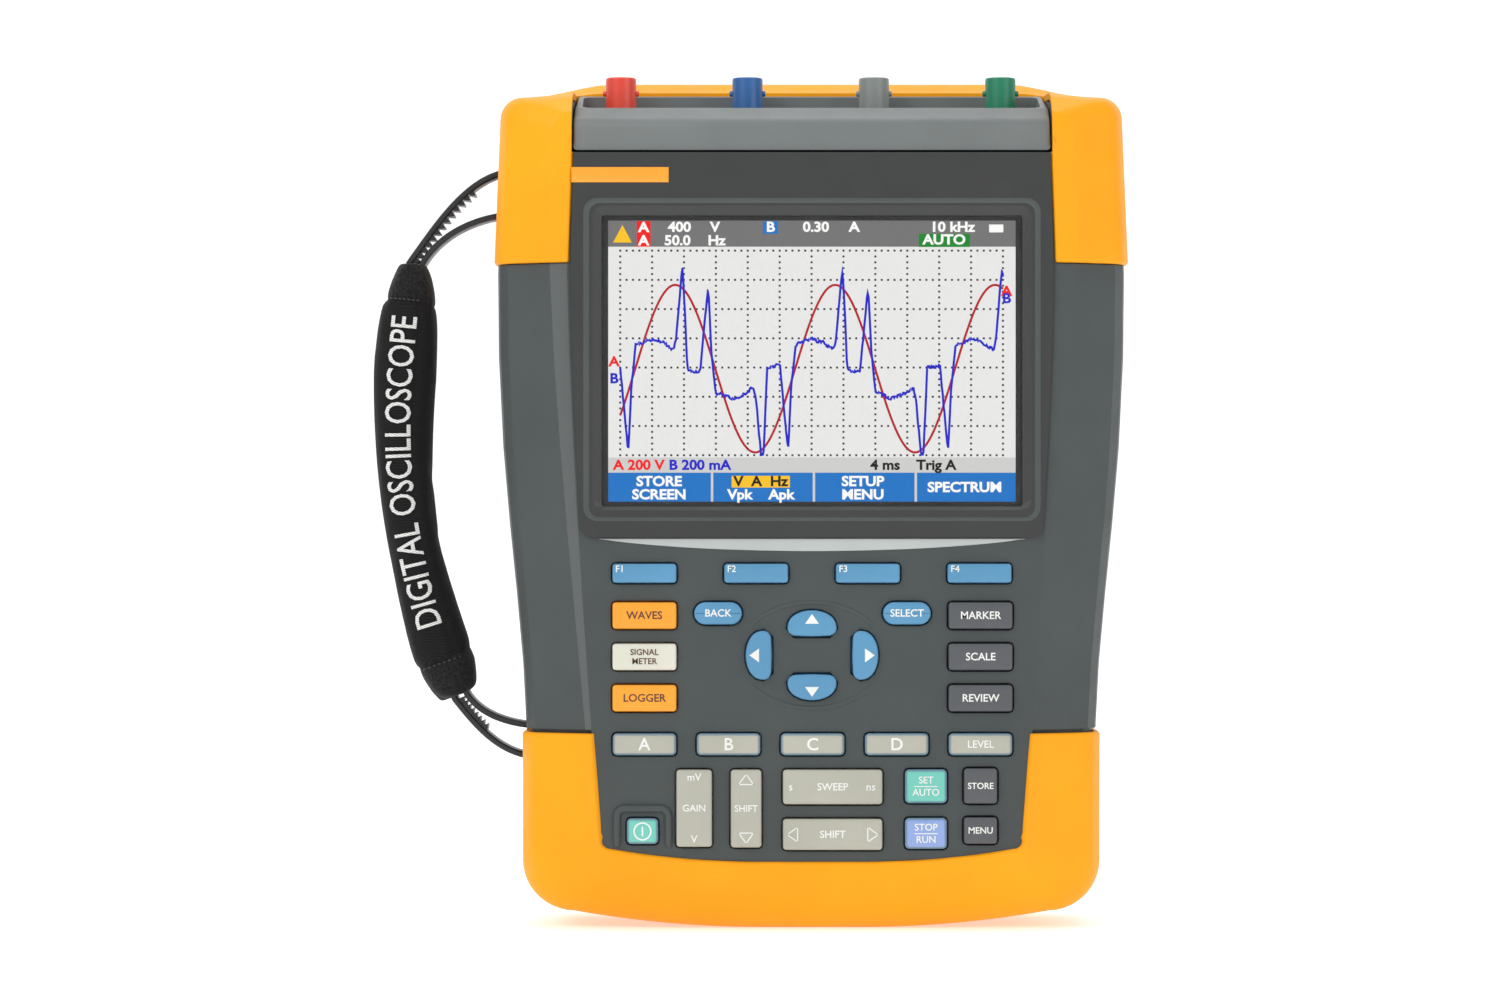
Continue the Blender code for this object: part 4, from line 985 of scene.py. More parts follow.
# Coloured areas: colour, left, low, right and high share, and layer.
SCREEN_AREAS = (
    ("paper", 0, INFO_HIGH, 1, BAR_LOW, 1),
    ("bar", 0, BAR_LOW, 1, 1, 1),
    ("info", 0, KEYS_HIGH, 1, INFO_HIGH, 1),
    ("blue", 0, 0, 1, KEYS_HIGH, 1),
    ("red", 0.070, BAR_LOW, 0.104, 0.998, 2),
    ("blue", 0.380, 0.953, 0.417, 0.998, 2),
    ("green", 0.762, 0.906, 0.888, 0.953, 2),
    ("yellow", 0.303, 0.050, 0.446, 0.092, 2),
)
# Words on the screen: text, shares of the picture's width and height, colour.
SCREEN_WORDS = (
    ("A", 0.087, 0.975, "white"), ("A", 0.087, 0.928, "white"), ("B", 0.3985, 0.976, "white"),
    ("400", 0.175, 0.976, "white"), ("V", 0.262, 0.976, "white"), ("50.0", 0.170, 0.928, "white"),
    ("Hz", 0.266, 0.928, "white"), ("0.30", 0.510, 0.976, "white"), ("A", 0.604, 0.976, "white"),
    ("10 kHz", 0.845, 0.976, "white"), ("AUTO", 0.825, 0.931, "white"), ("A 200 V", 0.075, 0.129, "red"),
    ("B 200 mA", 0.225, 0.129, "trace_blue"), ("4 ms", 0.680, 0.129, "black"),
    ("Trig A", 0.805, 0.129, "black"), ("STORE", 0.125, 0.071, "white"), ("SCREEN", 0.125, 0.024, "white"),
    ("V  A  Hz", 0.3745, 0.071, "black"), ("Vpk    Apk", 0.3745, 0.024, "white"),
    ("SETUP", 0.625, 0.071, "white"), ("MENU", 0.625, 0.024, "white"), ("SPECTRUM", 0.875, 0.050, "white"),
    ("A", 0.0145, 0.497, "red"), ("B", 0.0145, 0.437, "trace_blue"), ("A", 0.978, 0.748, "red"),
    ("B", 0.978, 0.722, "trace_blue"),
)


def display():
    """The lit picture: status bar, dotted grid, two traces, and the labels of the soft keys."""
    low, high = node_box("lcd_panel")
    face = low[1]
    x0, x1 = low[0] + 2.6, high[0] - 2.6
    z0, z1 = low[2] + 2.1, high[2] - 2.1

    def at(u, v):
        """A place on the picture from shares of its width and height, from the lower left."""
        return x0 + (x1 - x0) * u, z0 + (z1 - z0) * v

    def area(u0, v0, u1, v1, layer):
        (xa, za), (xb, zb) = at(u0, v0), at(u1, v1)
        y = face - 0.02 * layer
        return box_data((xa, y, za), (xb, y + 0.015, zb))

    looks = [lit(f"screen_{name}", colour) for name, colour in SCREEN_COLOURS]
    slot = {name: i for i, (name, _) in enumerate(SCREEN_COLOURS)}
    parts = [(*area(*place), slot[name]) for name, *place in SCREEN_AREAS]
    for u in (0.255, 0.505, 0.755):
        parts.append((*area(u - 0.003, 0, u + 0.003, KEYS_HIGH, 2), slot["info"]))
    grid_x, grid_z = np.linspace(*GRID_X, 13), np.linspace(*GRID_Z, 8)
    dots = [(u, v) for u in grid_x for v in np.linspace(*GRID_Z, 36)]
    dots += [(u, v) for v in grid_z for u in np.linspace(*GRID_X, 61)]
    for u, v in dots:
        parts.append((*area(u - DOT, v - DOT * 1.4, u + DOT, v + DOT * 1.4, 2), slot["black"]))
    rng = random.Random(7)
    middle, swing, current_swing, first_turn, period = 0.473, 0.298, 0.365, 0.0665, 0.3925
    sine, current = [], []
    for u in np.linspace(*GRID_X, 240):
        sine.append(at(u, middle + swing * math.sin(2 * math.pi * ((u - first_turn) / period))))
    for u in np.linspace(*GRID_X, 420):
        level = middle + current_swing * stepped_wave((u - first_turn) / period, rng)
        current.append(at(u, max(GRID_Z[0], level)))
    parts.append((*ribbon(sine, 0.72, face - 0.06), slot["trace_red"]))
    parts.append((*ribbon(current, 0.72, face - 0.08), slot["trace_blue"]))
    triangle = [at(0.012, 0.922), at(0.058, 0.922), at(0.035, 0.985)]
    battery = corners(*at(0.935, 0.958), *at(0.970, 0.986))
    for outline, name in ((triangle, "yellow"), (battery, "white")):
        parts.append((*prism_data(outline, face - 0.04, face - 0.02), slot[name]))
    for words, u, v, name in SCREEN_WORDS:
        text = text_data(words, 4.3, at(u, v), face - 0.10, 0.02, width=1.1, weight=0.034)
        parts.append((*text, slot[name]))
    multi("display_picture", parts, looks, "root", slot="screen", smooth=0)
    dress_node("lcd_panel", BLACK, 0.3)
    dress_node("display_window", WINDOW, 0.15)


# ---------------------------------------------------------------- keys

# Each key's printed words, as (words, type size, place to the right, place up) from its middle.
KEY_WORDS = {
    **{f"key_f{number}": ((f"F{number}", 2.9, -7.6, 1.3),) for number in range(1, 5)},
    **{f"key_channel_{letter}": ((letter.upper(), 5.4, 0, -0.1),) for letter in "abcd"},
    "key_trigger": (("LEVEL", 3.2, 0, 0),),
    "key_scope": (("WAVES", 3.4, 0, 0),),
    "key_meter": (("SIGNAL", 2.6, 0, 1.4), ("METER", 2.6, 0, -1.4)),
    "key_recorder": (("LOGGER", 3.4, 0, 0),),
    "key_clear": (("BACK", 3.2, 0, 0),),
    "key_enter": (("SELECT", 3.2, 0, 0),),
    "key_cursor": (("MARKER", 3.3, 0, 0),),
    "key_zoom": (("SCALE", 3.3, 0, 0),),
    "key_replay": (("REVIEW", 3.3, 0, 0),),
    "key_save": (("STORE", 2.7, 0, 0),),
    "key_user": (("MENU", 2.8, 0, 0),),
    "key_range": (("mV", 3.2, 0, 9.6), ("GAIN", 3.0, 0, 0), ("V", 3.2, 0, -9.6)),
    "key_move_vertical": (("SHIFT", 2.9, 0, 0),),
    "key_time": (("s", 3.4, -13.0, 0), ("SWEEP", 3.2, 0, 0), ("ns", 3.4, 11.8, 0)),
    "key_move_horizontal": (("SHIFT", 3.2, 0, 0),),
    "key_auto": (("SET", 3.0, 0, 1.9), ("AUTO", 3.0, 0, -1.9)),
    "key_run": (("STOP", 3.0, 0, 1.9), ("RUN", 3.0, 0, -1.9)),
}
CURSOR_KEYS = {"key_up": (0, 1), "key_down": (0, -1), "key_left": (-1, 0), "key_right": (1, 0)}
PILL_KEYS = ("key_clear", "key_enter")
FLANGE = 1.1
DOME = 0.16
SKIRTED = ["key_trigger", "key_auto", "key_run", "key_power"] + [f"key_channel_{c}" for c in "abcd"]


def cursor_outline(centre, facing, size):
    """A cursor key: an arch away from the ring's middle, with a slightly bowed inner edge."""
    half_long = size / 2
    points = []
    for step in range(25):
        angle = math.pi * step / 24
        out = -1.5 + 5.6 * math.sin(angle) ** 0.85 if 0 < step < 24 else -1.5
        points.append((half_long * math.cos(angle), out))
    points += arc((2.6 - half_long, -1.5), (2.6, 2.3), 180, 262, 7)[1:]
    points.append((0.0, -4.0))
    points += arc((half_long - 2.6, -1.5), (2.6, 2.3), 278, 360, 7)[:-1]
    turned = []
    for along, out in points:
        if facing[0]:
            turned.append((centre[0] + out * facing[0], centre[1] - along * facing[0]))
        else:
            turned.append((centre[0] + along * facing[1], centre[1] + out * facing[1]))
    return turned


def key_shape(node):
    """A key's outline, its middle and its size, from its CAD solid without the flange."""
    low, high = node_box(node)
    size = (high[0] - low[0] - 2 * FLANGE, high[2] - low[2] - 2 * FLANGE)
    centre = middle_of(node)
    if node in CURSOR_KEYS:
        return cursor_outline(centre, CURSOR_KEYS[node], max(size)), centre, size
    radius = size[1] / 2 - 0.01 if node in PILL_KEYS else 1.35 if node in SKIRTED else 1.0
    return rounded_rectangle(centre, size, radius, 8), centre, size


def key_cap(node, label_look):
    """A key: a crowned silicone cap, some of them on a bluish skirt, with its printed mark."""
    low, high = node_box(node)
    outline, centre, size = key_shape(node)
    top, back = low[1], high[1]
    skirted = node in SKIRTED
    foot = [(back, -FLANGE), (back - 1.2, -FLANGE), (back - 1.2, 0.0)]
    if skirted:
        foot += [(top + 1.15, 0.0), (top + 0.9, 0.12), (top + 0.78, 0.4), (top + 0.8, 1.0)]
    else:
        foot.append((FRONT - 0.3, 0.0))
    rings = stepped(outline, foot)
    cap = stepped(outline, [(top + 1.3, 0.5)]) if skirted else rings
    start, round_edge = (0.5, 0.6) if skirted else (0.0, 0.75)
    edge_steps = []
    for angle in np.radians((0, 22, 45, 68, 90)):
        rise, back_in = 1 - math.sin(angle), 1 - math.cos(angle)
        edge_steps.append((top + DOME + round_edge * rise, start + round_edge * back_in))
    cap += stepped(outline, edge_steps)
    x, z = centre
    edge = inset(outline, start + round_edge)
    for share in (0.93, 0.8, 0.6, 0.35, 0.12):
        y = top + DOME * share**2
        cap.append([Vector((x + (a - x) * share, y, z + (b - z) * share)) for a, b in edge])
    parts = [(*loft_data(cap), 0)]
    if skirted:
        parts.append((*loft_data(rings), 2))
    parts += [(verts, faces, 1) for verts, faces in key_marks(node, centre, size, top)]
    slot = frame_slot(node)
    made = multi(node + "_cap", parts, [KEY_LOOKS[slot], label_look, SKIRT], None, smooth=50)
    seat(made, node)


def flat_mark(outline, top):
    return prism_data(outline, top - 0.02, top + 0.3)


def ring_mark(centre, radius, width, top):
    """A flat printed ring."""
    rings = []
    for angle in turns(32):
        cos, sin = math.cos(angle), math.sin(angle)
        section = corners(radius, top - 0.02, radius + width, top + 0.3)
        rings.append([Vector((centre[0] + r * cos, y, centre[1] + r * sin)) for r, y in section])
    return loft_data(rings, closed=True)


def bar(x0, z0, x1, z1, top):
    return flat_mark(corners(x0, z0, x1, z1), top)


def arrow(centre, facing, size, top, hollow=0.0):
    """A printed triangle pointing along facing, solid or as an outline of a given width."""

    def corner(along, side):
        x, z = facing[0] * along - facing[1] * side, facing[1] * along + facing[0] * side
        return Vector((centre[0] + x, centre[1] + z))

    tip = corner(size * 0.55, 0)
    left, right = (corner(-size * 0.45, size * side) for side in (0.72, -0.72))
    if not hollow:
        return [flat_mark([tip, left, right], top)]
    sides = []
    for a, b in ((tip, left), (left, right), (right, tip)):
        along = (b - a).normalized()
        normal = Vector((-along[1], along[0])) * hollow / 2
        start, end = a - along * hollow / 3, b + along * hollow / 3
        sides.append(flat_mark([start - normal, end - normal, end + normal, start + normal], top))
    return sides


def key_marks(node, centre, size, top):
    """Printed marks: generic words, units and channel letters, and plain arrows."""
    x, z = centre
    marks = []
    for words, height, right, up in KEY_WORDS.get(node, ()):
        marks.append(text_data(words, height, (x + right, z + up), top - 0.05, weight=0.014))
    if node in CURSOR_KEYS:
        side = CURSOR_KEYS[node]
        marks += arrow((x + side[0] * 1.3, z + side[1] * 1.3), side, 3.0, top + 0.02)
    elif node == "key_power":
        marks += [ring_mark(centre, 2.35, 0.5, top), bar(x - 0.24, z - 1.5, x + 0.24, z + 1.5, top)]
    elif node in ("key_move_vertical", "key_move_horizontal"):
        upright = size[1] > size[0]
        for way in (1, -1):
            reach = way * (max(size) / 2 - 3.1)
            place, facing = ((x, z + reach), (0, way)) if upright else ((x + reach, z), (way, 0))
            marks += arrow(place, facing, 3.2, top + 0.08, 0.34)
    elif node in ("key_auto", "key_run"):
        marks.append(bar(x - 3.6, z - 0.15, x + 3.6, z + 0.15, top - 0.05))
    return marks


def keypad():
    for node in sorted(NODES):
        if node.startswith("key_"):
            dark = node in ("key_scope", "key_recorder", "key_meter")
            key_cap(node, DARK_INK if dark else WHITE_INK)
    power_guard()
    cursor_dish()


def bead(name, path, width, height):
    """A low rounded rib on the front panel along (x, z) points."""
    rings = []
    for i, place in enumerate(path):
        ease = (0.35, 0.75, 1.0)[min(i, len(path) - 1 - i, 2)]
        side = sideways(path, i) * width / 2 * (0.7 + 0.3 * ease)
        ring = []
        for angle in np.radians(np.linspace(0, 180, 9)):
            spot = Vector(place) + side * math.cos(angle)
            ring.append(Vector((spot[0], FRONT - height * ease * math.sin(angle) ** 0.8, spot[1])))
        for spot in (Vector(place) - side, Vector(place) + side):
            ring.append(Vector((spot[0], FRONT + 0.25, spot[1])))
        rings.append(ring)
    loft(name, rings, CASE_GREY, "root", slot="case_grey", smooth=50)


def power_guard():
    """The arch that keeps the power key from being pressed by accident."""
    _, (x, z), size = key_shape("key_power")
    half, top, foot, radius = size[0] / 2 + 3.2, z + size[1] / 2 + 3.0, z - size[1] / 2 - 1.0, 2.4
    left, right, bend, radii = x - half, x + half, top - radius, (radius, radius)
    path = [(left, h) for h in np.linspace(foot, bend, 8)]
    path += arc((left + radius, bend), radii, 165, 90, 5)
    path += [(u, top) for u in np.linspace(left + radius, right - radius, 8)[1:-1]]
    path += arc((right - radius, bend), radii, 90, 15, 5)
    path += [(right, h) for h in np.linspace(bend, foot, 8)]
    bead("power_guard", path, 2.4, 1.5)


def cursor_dish():
    """Faint raised arcs above and below the four cursor keys."""
    middle = [middle_of(n) for n in CURSOR_KEYS]
    centre = sum(m[0] for m in middle) / 4, sum(m[1] for m in middle) / 4
    for name, start, end in (("cursor_rim_upper", 35, 145), ("cursor_rim_lower", -145, -35)):
        bead(name, arc(centre, (22.8, 16.4), start, end, 33), 1.4, 0.2)


def sharpen_facet(mesh):
    """Keeps the crease crisp between the facet beside the panel and the flank."""
    depth = SECTIONS[0][0] * MM
    sharp = mesh.attributes.get("sharp_edge") or mesh.attributes.new("sharp_edge", "BOOLEAN", "EDGE")
    for edge in mesh.edges:
        if all(abs(mesh.vertices[i].co[1] - depth) < 0.02 * MM for i in edge.vertices):
            sharp.data[edge.index].value = True


def case_shells():
    """The two halves of the case keep their CAD shape, with softened shading."""
    for node in ("front_case", "rear_case"):
        shell = dress_node(node, CASE_GREY, smooth=28)
        sharpen_facet(shell.data)
        shell.modifiers.new("even_shading", "WEIGHTED_NORMAL").keep_sharp = True


input_panel()
for socket_node, socket_look in SOCKET_LOOKS.items():
    input_socket(socket_node, socket_look)
bezel()
display()
keypad()
case_shells()


# ---------------------------------------------------------------- hand strap

RUN, STRAND = 50, 42
CLOTH_REACH = 5 * MM


def bezier(corners, share):
    a = 1 - share
    weights = (a**3, 3 * a * a * share, 3 * a * share * share, share**3)
    return sum((Vector(p) * w for p, w in zip(corners, weights)), Vector((0, 0)))


PAD_PATH = ((-125.7, 208.5), (-129.7, 161.5), (-136.0, 135.0), (-111.3, 71.0))
PAD_SHARES = (0.0, 0.065, 0.14, 0.26, 0.4, 0.6, 0.74, 0.88, 0.935, 0.97, 1.0)
PAD_HALVES = (5.4, 8.3, 9.9, 10.2, 9.0, 7.9, 7.3, 9.3, 10.3, 9.6, 6.6)


def pad_point(share):
    """A point (x, z) on the sleeve's centre line, and the unit normal to its right."""
    ahead, behind = min(1.0, share + 0.005), max(0.0, share - 0.005)
    along = (bezier(PAD_PATH, ahead) - bezier(PAD_PATH, behind)).normalized()
    return bezier(PAD_PATH, share), Vector((-along[1], along[0]))


def pad_half(share):
    """The sleeve's half width, as a smooth run through the table."""
    run = [pad_half_straight(share + step) for step in (-0.03, -0.015, 0.0, 0.015, 0.03)]
    return sum(run) / len(run)


def pad_half_straight(share):
    return float(np.interp(clamp(share), PAD_SHARES, PAD_HALVES))


CLOTH_FRAMES, CLOTH_PRESSURE = 20, 4.0
def sleeve_rings(start, end, shrink, depth, count, swell):
    """Rings of a soft flattened tube along part of the path. swell(share of the part) scales it."""
    rings = []
    for i in range(count + 1):
        t = i / count
        share = start + (end - start) * t
        place, normal = pad_point(share)
        ease = swell(t)
        half = (pad_half(share) - shrink) * ease
        ring = []
        for angle in turns(28):
            cos, sin = math.cos(angle), math.sin(angle)
            spot = place + normal * half * math.copysign(abs(cos) ** 0.85, cos)
            ring.append(Vector((spot[0], depth * ease * math.copysign(abs(sin) ** 0.7, sin), spot[1])))
        rings.append(ring)
    return rings


def inflate(made):
    """Lets the cloth solver fill a closed sleeve, so that its skin swells and creases softly."""
    remesh = made.modifiers.new("skin", "REMESH")
    remesh.mode, remesh.voxel_size = "VOXEL", 2.6 * MM
    apply_modifiers(made, 180)
    cloth = made.modifiers.new("stuffing", "CLOTH")
    settings = cloth.settings
    settings.quality, settings.mass, settings.air_damping = 6, 0.2, 2.0
    settings.tension_stiffness = settings.compression_stiffness = 5.0
    settings.shear_stiffness, settings.bending_stiffness = 3.0, 0.2
    settings.use_pressure, settings.uniform_pressure_force = True, CLOTH_PRESSURE
    settings.effector_weights.gravity = 0.0
    cloth.point_cache.frame_start, cloth.point_cache.frame_end = 1, CLOTH_FRAMES
    scene = bpy.context.scene
    start = scene.frame_current
    for frame_number in range(1, CLOTH_FRAMES + 1):
        scene.frame_set(frame_number)
    graph = bpy.context.evaluated_depsgraph_get()
    mesh = bpy.data.meshes.new_from_object(made.evaluated_get(graph))
    for swollen, still in zip(mesh.vertices, made.data.vertices):
        moved = swollen.co - still.co
        if moved.length > CLOTH_REACH:
            swollen.co = still.co + moved.normalized() * CLOTH_REACH
    use_mesh(made, mesh)
    scene.frame_set(start)


def wall_channel():
    """The passage for the band through the sleeve, as a tool for a cut."""
    rings = []
    for i in range(-2, 43):
        place, normal = pad_point(clamp(i / 40))
        beyond = max(0, i - 40) + min(0, i)
        place = place + Vector((normal[1], -normal[0])) * 4.0 * beyond
        section = ((-2.5, -6.5), (-2.5, 6.5), (2.5, 6.5), (2.5, -6.5))
        rings.append(across_path(place, normal, section))
    return loft_data(rings)


CUFF_TOP, CUFF_LOW = 0.076, 0.948


def across_path(place, normal, section):
    """A ring across the strap's path from (distance along the normal, depth) points."""
    return [Vector((place[0] + normal[0] * out, deep, place[1] + normal[1] * out)) for out, deep in section]


def sleeve():
    """The padded sleeve: a knitted middle over two cuffs of loop fabric, sewn at the joins."""

    def full(t):
        return 1.0 - 0.10 * math.exp(-t / 0.012) - 0.10 * math.exp(-(1 - t) / 0.012)

    def cuff(t):
        return 1.0 - 0.12 * math.exp(-t / 0.10) - 0.10 * math.exp(-(1 - t) / 0.06)

    plan = (
        ("sleeve_middle", SLEEVE_FABRIC, CUFF_TOP, CUFF_LOW, 0.55, 10.9, 44, full),
        ("sleeve_cuff_top", LOOP_FABRIC, 0.0, CUFF_TOP + 0.03, 0.7, 9.6, 12, cuff),
        ("sleeve_cuff_low", LOOP_FABRIC, 0.996, CUFF_LOW - 0.03, 0.9, 9.8, 12, cuff),
    )
    for name, look, *shape in plan:
        part = loft(name, sleeve_rings(*shape), look, None, smooth=180)
        inflate(part)
        soft = part.modifiers.new("even", "SUBSURF")
        soft.levels = soft.render_levels = 1
        apply_modifiers(part, 180)
        if name == "sleeve_middle":
            wrinkle(part)
        cut(part, [wall_channel()])
        apply_modifiers(part, 60)
        seat(part, "strap_pad")
    stitches()


def wrinkle(made):
    """The seam down the sleeve's inner edge, small puckers beside it, and the hems at its ends."""
    samples = [(share, *pad_point(share)) for share in np.linspace(0, 1, 121)]
    for vertex in made.data.vertices:
        spot = vertex.co / MM
        flat = Vector((spot[0], spot[2]))
        share, place, normal = min(samples, key=lambda s: (s[1] - flat).length)
        out = (flat - place).dot(normal)
        half = pad_half(share)
        groove = 0.0
        if spot[1] < 0:
            seam = (out - 0.42 * half) / 0.8
            groove = 0.45 * math.exp(-seam * seam)
            pucker = math.sin(share * 190.0 + 2.0 * math.sin(share * 37.0))
            groove += 0.16 * pucker * math.exp(-((out - 0.72 * half) / 1.8) ** 2)
        for hem in (CUFF_TOP + 0.016, CUFF_LOW - 0.016):
            groove += 0.4 * math.exp(-((share - hem) / 0.006) ** 2)
        inward = Vector((place[0] - spot[0], -spot[1], place[1] - spot[2])).normalized()
        vertex.co = (spot + inward * groove) * MM


def stitch_data(start, end):
    """One stitch: a short thread that dives in at both ends."""
    along = end - start
    side = along.cross(Vector((0, 1, 0))).normalized()
    up = side.cross(along).normalized()
    if up[1] > 0:
        up = -up
    rings = []
    for t in np.linspace(0, 1, 6):
        arch = math.sin(math.pi * t)
        middle = start + along * t + up * 0.22 * arch
        size = 0.28 * (0.55 + 0.45 * arch)
        rings.append([middle + side * size * math.cos(a) + up * size * math.sin(a) for a in turns(6)])
    return loft_data(rings)


def stitches():
    """Dark thread round the hems, and generic words sewn along the sleeve in raised white thread."""
    tree = BVHTree.FromObject(bpy.data.objects["sleeve_middle"], bpy.context.evaluated_depsgraph_get())

    def on_skin(flat):
        """The point on the sleeve's front over a flat (x, z) point, or None."""
        hit = tree.ray_cast(Vector((flat[0] * MM, -0.05, flat[1] * MM)), Vector((0, 1, 0)))[0]
        return hit / MM if hit is not None else None

    dark = []
    for share in (CUFF_TOP + 0.010, CUFF_LOW - 0.010):
        place, normal = pad_point(share)
        reach = pad_half(share) - 1.6
        for step in np.linspace(-reach, reach, 11):
            ends = [on_skin(place + normal * (step + d)) for d in (-0.5, 0.5)]
            if None not in ends and (ends[0] - ends[1]).length < 3:
                dark.append((*stitch_data(*ends), 0))
    if dark:
        multi("seam_thread", dark, DARK_THREAD, "strap", slot="strap_fabric")
    embroidery(on_skin)


def path_lengths():
    """Shares of the sleeve's path, and the length run from its start to each."""
    shares = np.linspace(0, 1, 201)
    places = [pad_point(share)[0] for share in shares]
    lengths = [0.0]
    for a, b in zip(places, places[1:]):
        lengths.append(lengths[-1] + (b - a).length)
    return shares, lengths


def sliced(verts, faces, pitch):
    """The same solid with its faces cut across at a pitch, so that it can follow a curved skin."""
    bm = bmesh.new()
    points = [bm.verts.new(v) for v in verts]
    for face in faces:
        bm.faces.new([points[i] for i in face])
    for axis, step in ((2, pitch), (0, 3 * pitch)):
        low, high = (f(v[axis] for v in verts) for f in (min, max))
        for place in np.arange(low + step, high, step):
            spot, across = Vector((0, 0, 0)), Vector((0, 0, 0))
            spot[axis], across[axis] = place, 1.0
            everything = bm.verts[:] + bm.edges[:] + bm.faces[:]
            bmesh.ops.bisect_plane(bm, geom=everything, dist=1e-5, plane_co=spot, plane_no=across)
    bm.verts.index_update()
    result = [v.co.copy() for v in bm.verts], [tuple(v.index for v in face.verts) for face in bm.faces]
    bm.free()
    return result


def embroidery(on_skin):
    """Satin-stitched letters that stand a little off the sleeve and follow its skin."""
    shares, lengths = path_lengths()
    start, size, baseline = 0.875, 11.6, 1.9
    origin = float(np.interp(start, shares, lengths))
    text = text_data("DIGITAL OSCILLOSCOPE", size, (0, 0), 0.0, 0.5, align="LEFT", width=0.775, weight=0.006)
    verts, faces = sliced(*text, 1.0)
    low, high = (f(v[2] for v in verts) for f in (min, max))
    placed = []
    for vert in verts:
        place, normal = pad_point(float(np.interp(origin - vert[0], lengths, shares)))
        flat = place + normal * (baseline - (vert[2] - low) + (high - low) * 0.18)
        skin = on_skin(flat)
        depth = skin[1] if skin is not None else -9.0
        placed.append(Vector((flat[0], depth - 0.42 + vert[1], flat[1])))
    multi("sewn_letters", [(placed, faces, 0)], WHITE_THREAD, "strap", slot="strap_fabric", smooth=50)


def inner_run(share):
    """Distance of the band's inner strand from the sleeve's centre line, wider at both ends."""
    return 1.3 + 1.6 * max(0.0, 1 - 10 * share, 10 * share - 9)


def band_points():
    """The band's closed centre line, finely stepped: up the outer side, round both bars and back."""
    outer, inner = [], []
    for share in np.linspace(0, 1, RUN):
        place, normal = pad_point(share)
        outer.append(place - normal * 1.3)
        inner.append(place + normal * inner_run(share))
    up = Vector((-92.5, middle_of("strap_anchor_upper")[1]))
    down = Vector((-83.2, middle_of("strap_anchor_lower")[1]))
    up_z, down_z = Vector((0, 6.7)), Vector((0, 4.8))
    shares = np.linspace(0, 1, STRAND)[1:-1]
    points = outer[::-1]
    points += [bezier((outer[0], (-119.5, 218.5), (-108.0, 238.3), up + up_z), s) for s in shares]
    points += arc(up, (4.4, 6.7), 90, -90, 19)
    points += [bezier((up - up_z, (-109.0, 223.2), (-118.8, 215.5), inner[0]), s) for s in shares]
    points += inner
    points += [bezier((inner[-1], (-104.5, 66.0), (-96.0, 62.2), down + down_z), s) for s in shares]
    points += arc(down, (4.4, 4.8), 90, -90, 19)
    points += [bezier((down - down_z, (-97.5, 51.2), (-106.0, 62.5), outer[-1]), s) for s in shares]
    return [Vector(p) for p in points]


BAND_SECTION = (
    (0.9, 5.5), (0.6, 5.9), (-0.6, 5.9), (-0.9, 5.5), (-0.9, -5.5), (-0.6, -5.9), (0.6, -5.9), (0.9, -5.5),
)
TOOTH = ((-0.85, 0.7), (0.85, 0.7), (0.85, 1.35), (0.45, 2.5), (0.1, 2.5), (-0.85, 1.35))
TOOTH_PITCH = 1.45
def band():
    """A smooth moulded band with eased edges, and the saw teeth that its fastener grips."""
    path = band_points()
    total = len(path)
    rings = []
    for i, place in enumerate(path):
        along = (path[(i + 2) % total] - path[i - 2]).normalized()
        rings.append(across_path(place, (-along[1], along[0]), BAND_SECTION))
    made = loft("band", rings, STRAP_PLASTIC, None, closed=True, smooth=50)
    seat(made, "strap_band")
    parts = []
    for first, end in ((RUN - 3, RUN + 26), (total - 18, total)):
        length, last = 0.0, path[first]
        for i in range(first, end):
            place, ahead = path[i], path[(i + 1) % total]
            length += (place - last).length
            last = place
            if length < TOOTH_PITCH:
                continue
            length = 0.0
            along = (ahead - place).normalized()
            inward = Vector((along[1], -along[0]))
            outline = [place + along * a + inward * b for a, b in TOOTH]
            parts.append((*prism_data(outline, -5.2, 5.2), 0))
    multi("band_teeth", parts, STRAP_PLASTIC, "strap", slot="strap_plastic", smooth=20)


sleeve()
band()
for anchor_node in ("strap_anchor_upper", "strap_anchor_lower"):
    dress_node(anchor_node, STRAP_PLASTIC, 0.5)


# ---------------------------------------------------------------- rear fittings and inner parts


def rows_of_ribs(name, body, centre, width, count, pitch, y, height, look, slot):
    """A grip: short rounded ribs on a face that looks to +Y."""
    tall = pitch * 0.45
    steps = ((y - 0.4, 0.0), (y + height * 0.6, 0.0), (y + height, tall * 0.22))
    parts = []
    for i in range(count):
        place = centre[0], centre[1] + (i - (count - 1) / 2) * pitch
        outline = rounded_rectangle(place, (width, tall), tall / 2 - 0.02, 4)
        parts.append((*loft_data(stepped(outline, steps)), 0))
    multi(name, parts, look, body, slot=slot)


def raised_frame(name, outline, face, steps, look, body, slot):
    """A low frame on a face that looks to +Y, from (height, inset) steps."""
    rings = stepped(outline, [(face + up, back) for up, back in steps])
    loft(name, rings, look, body, closed=True, slot=slot)


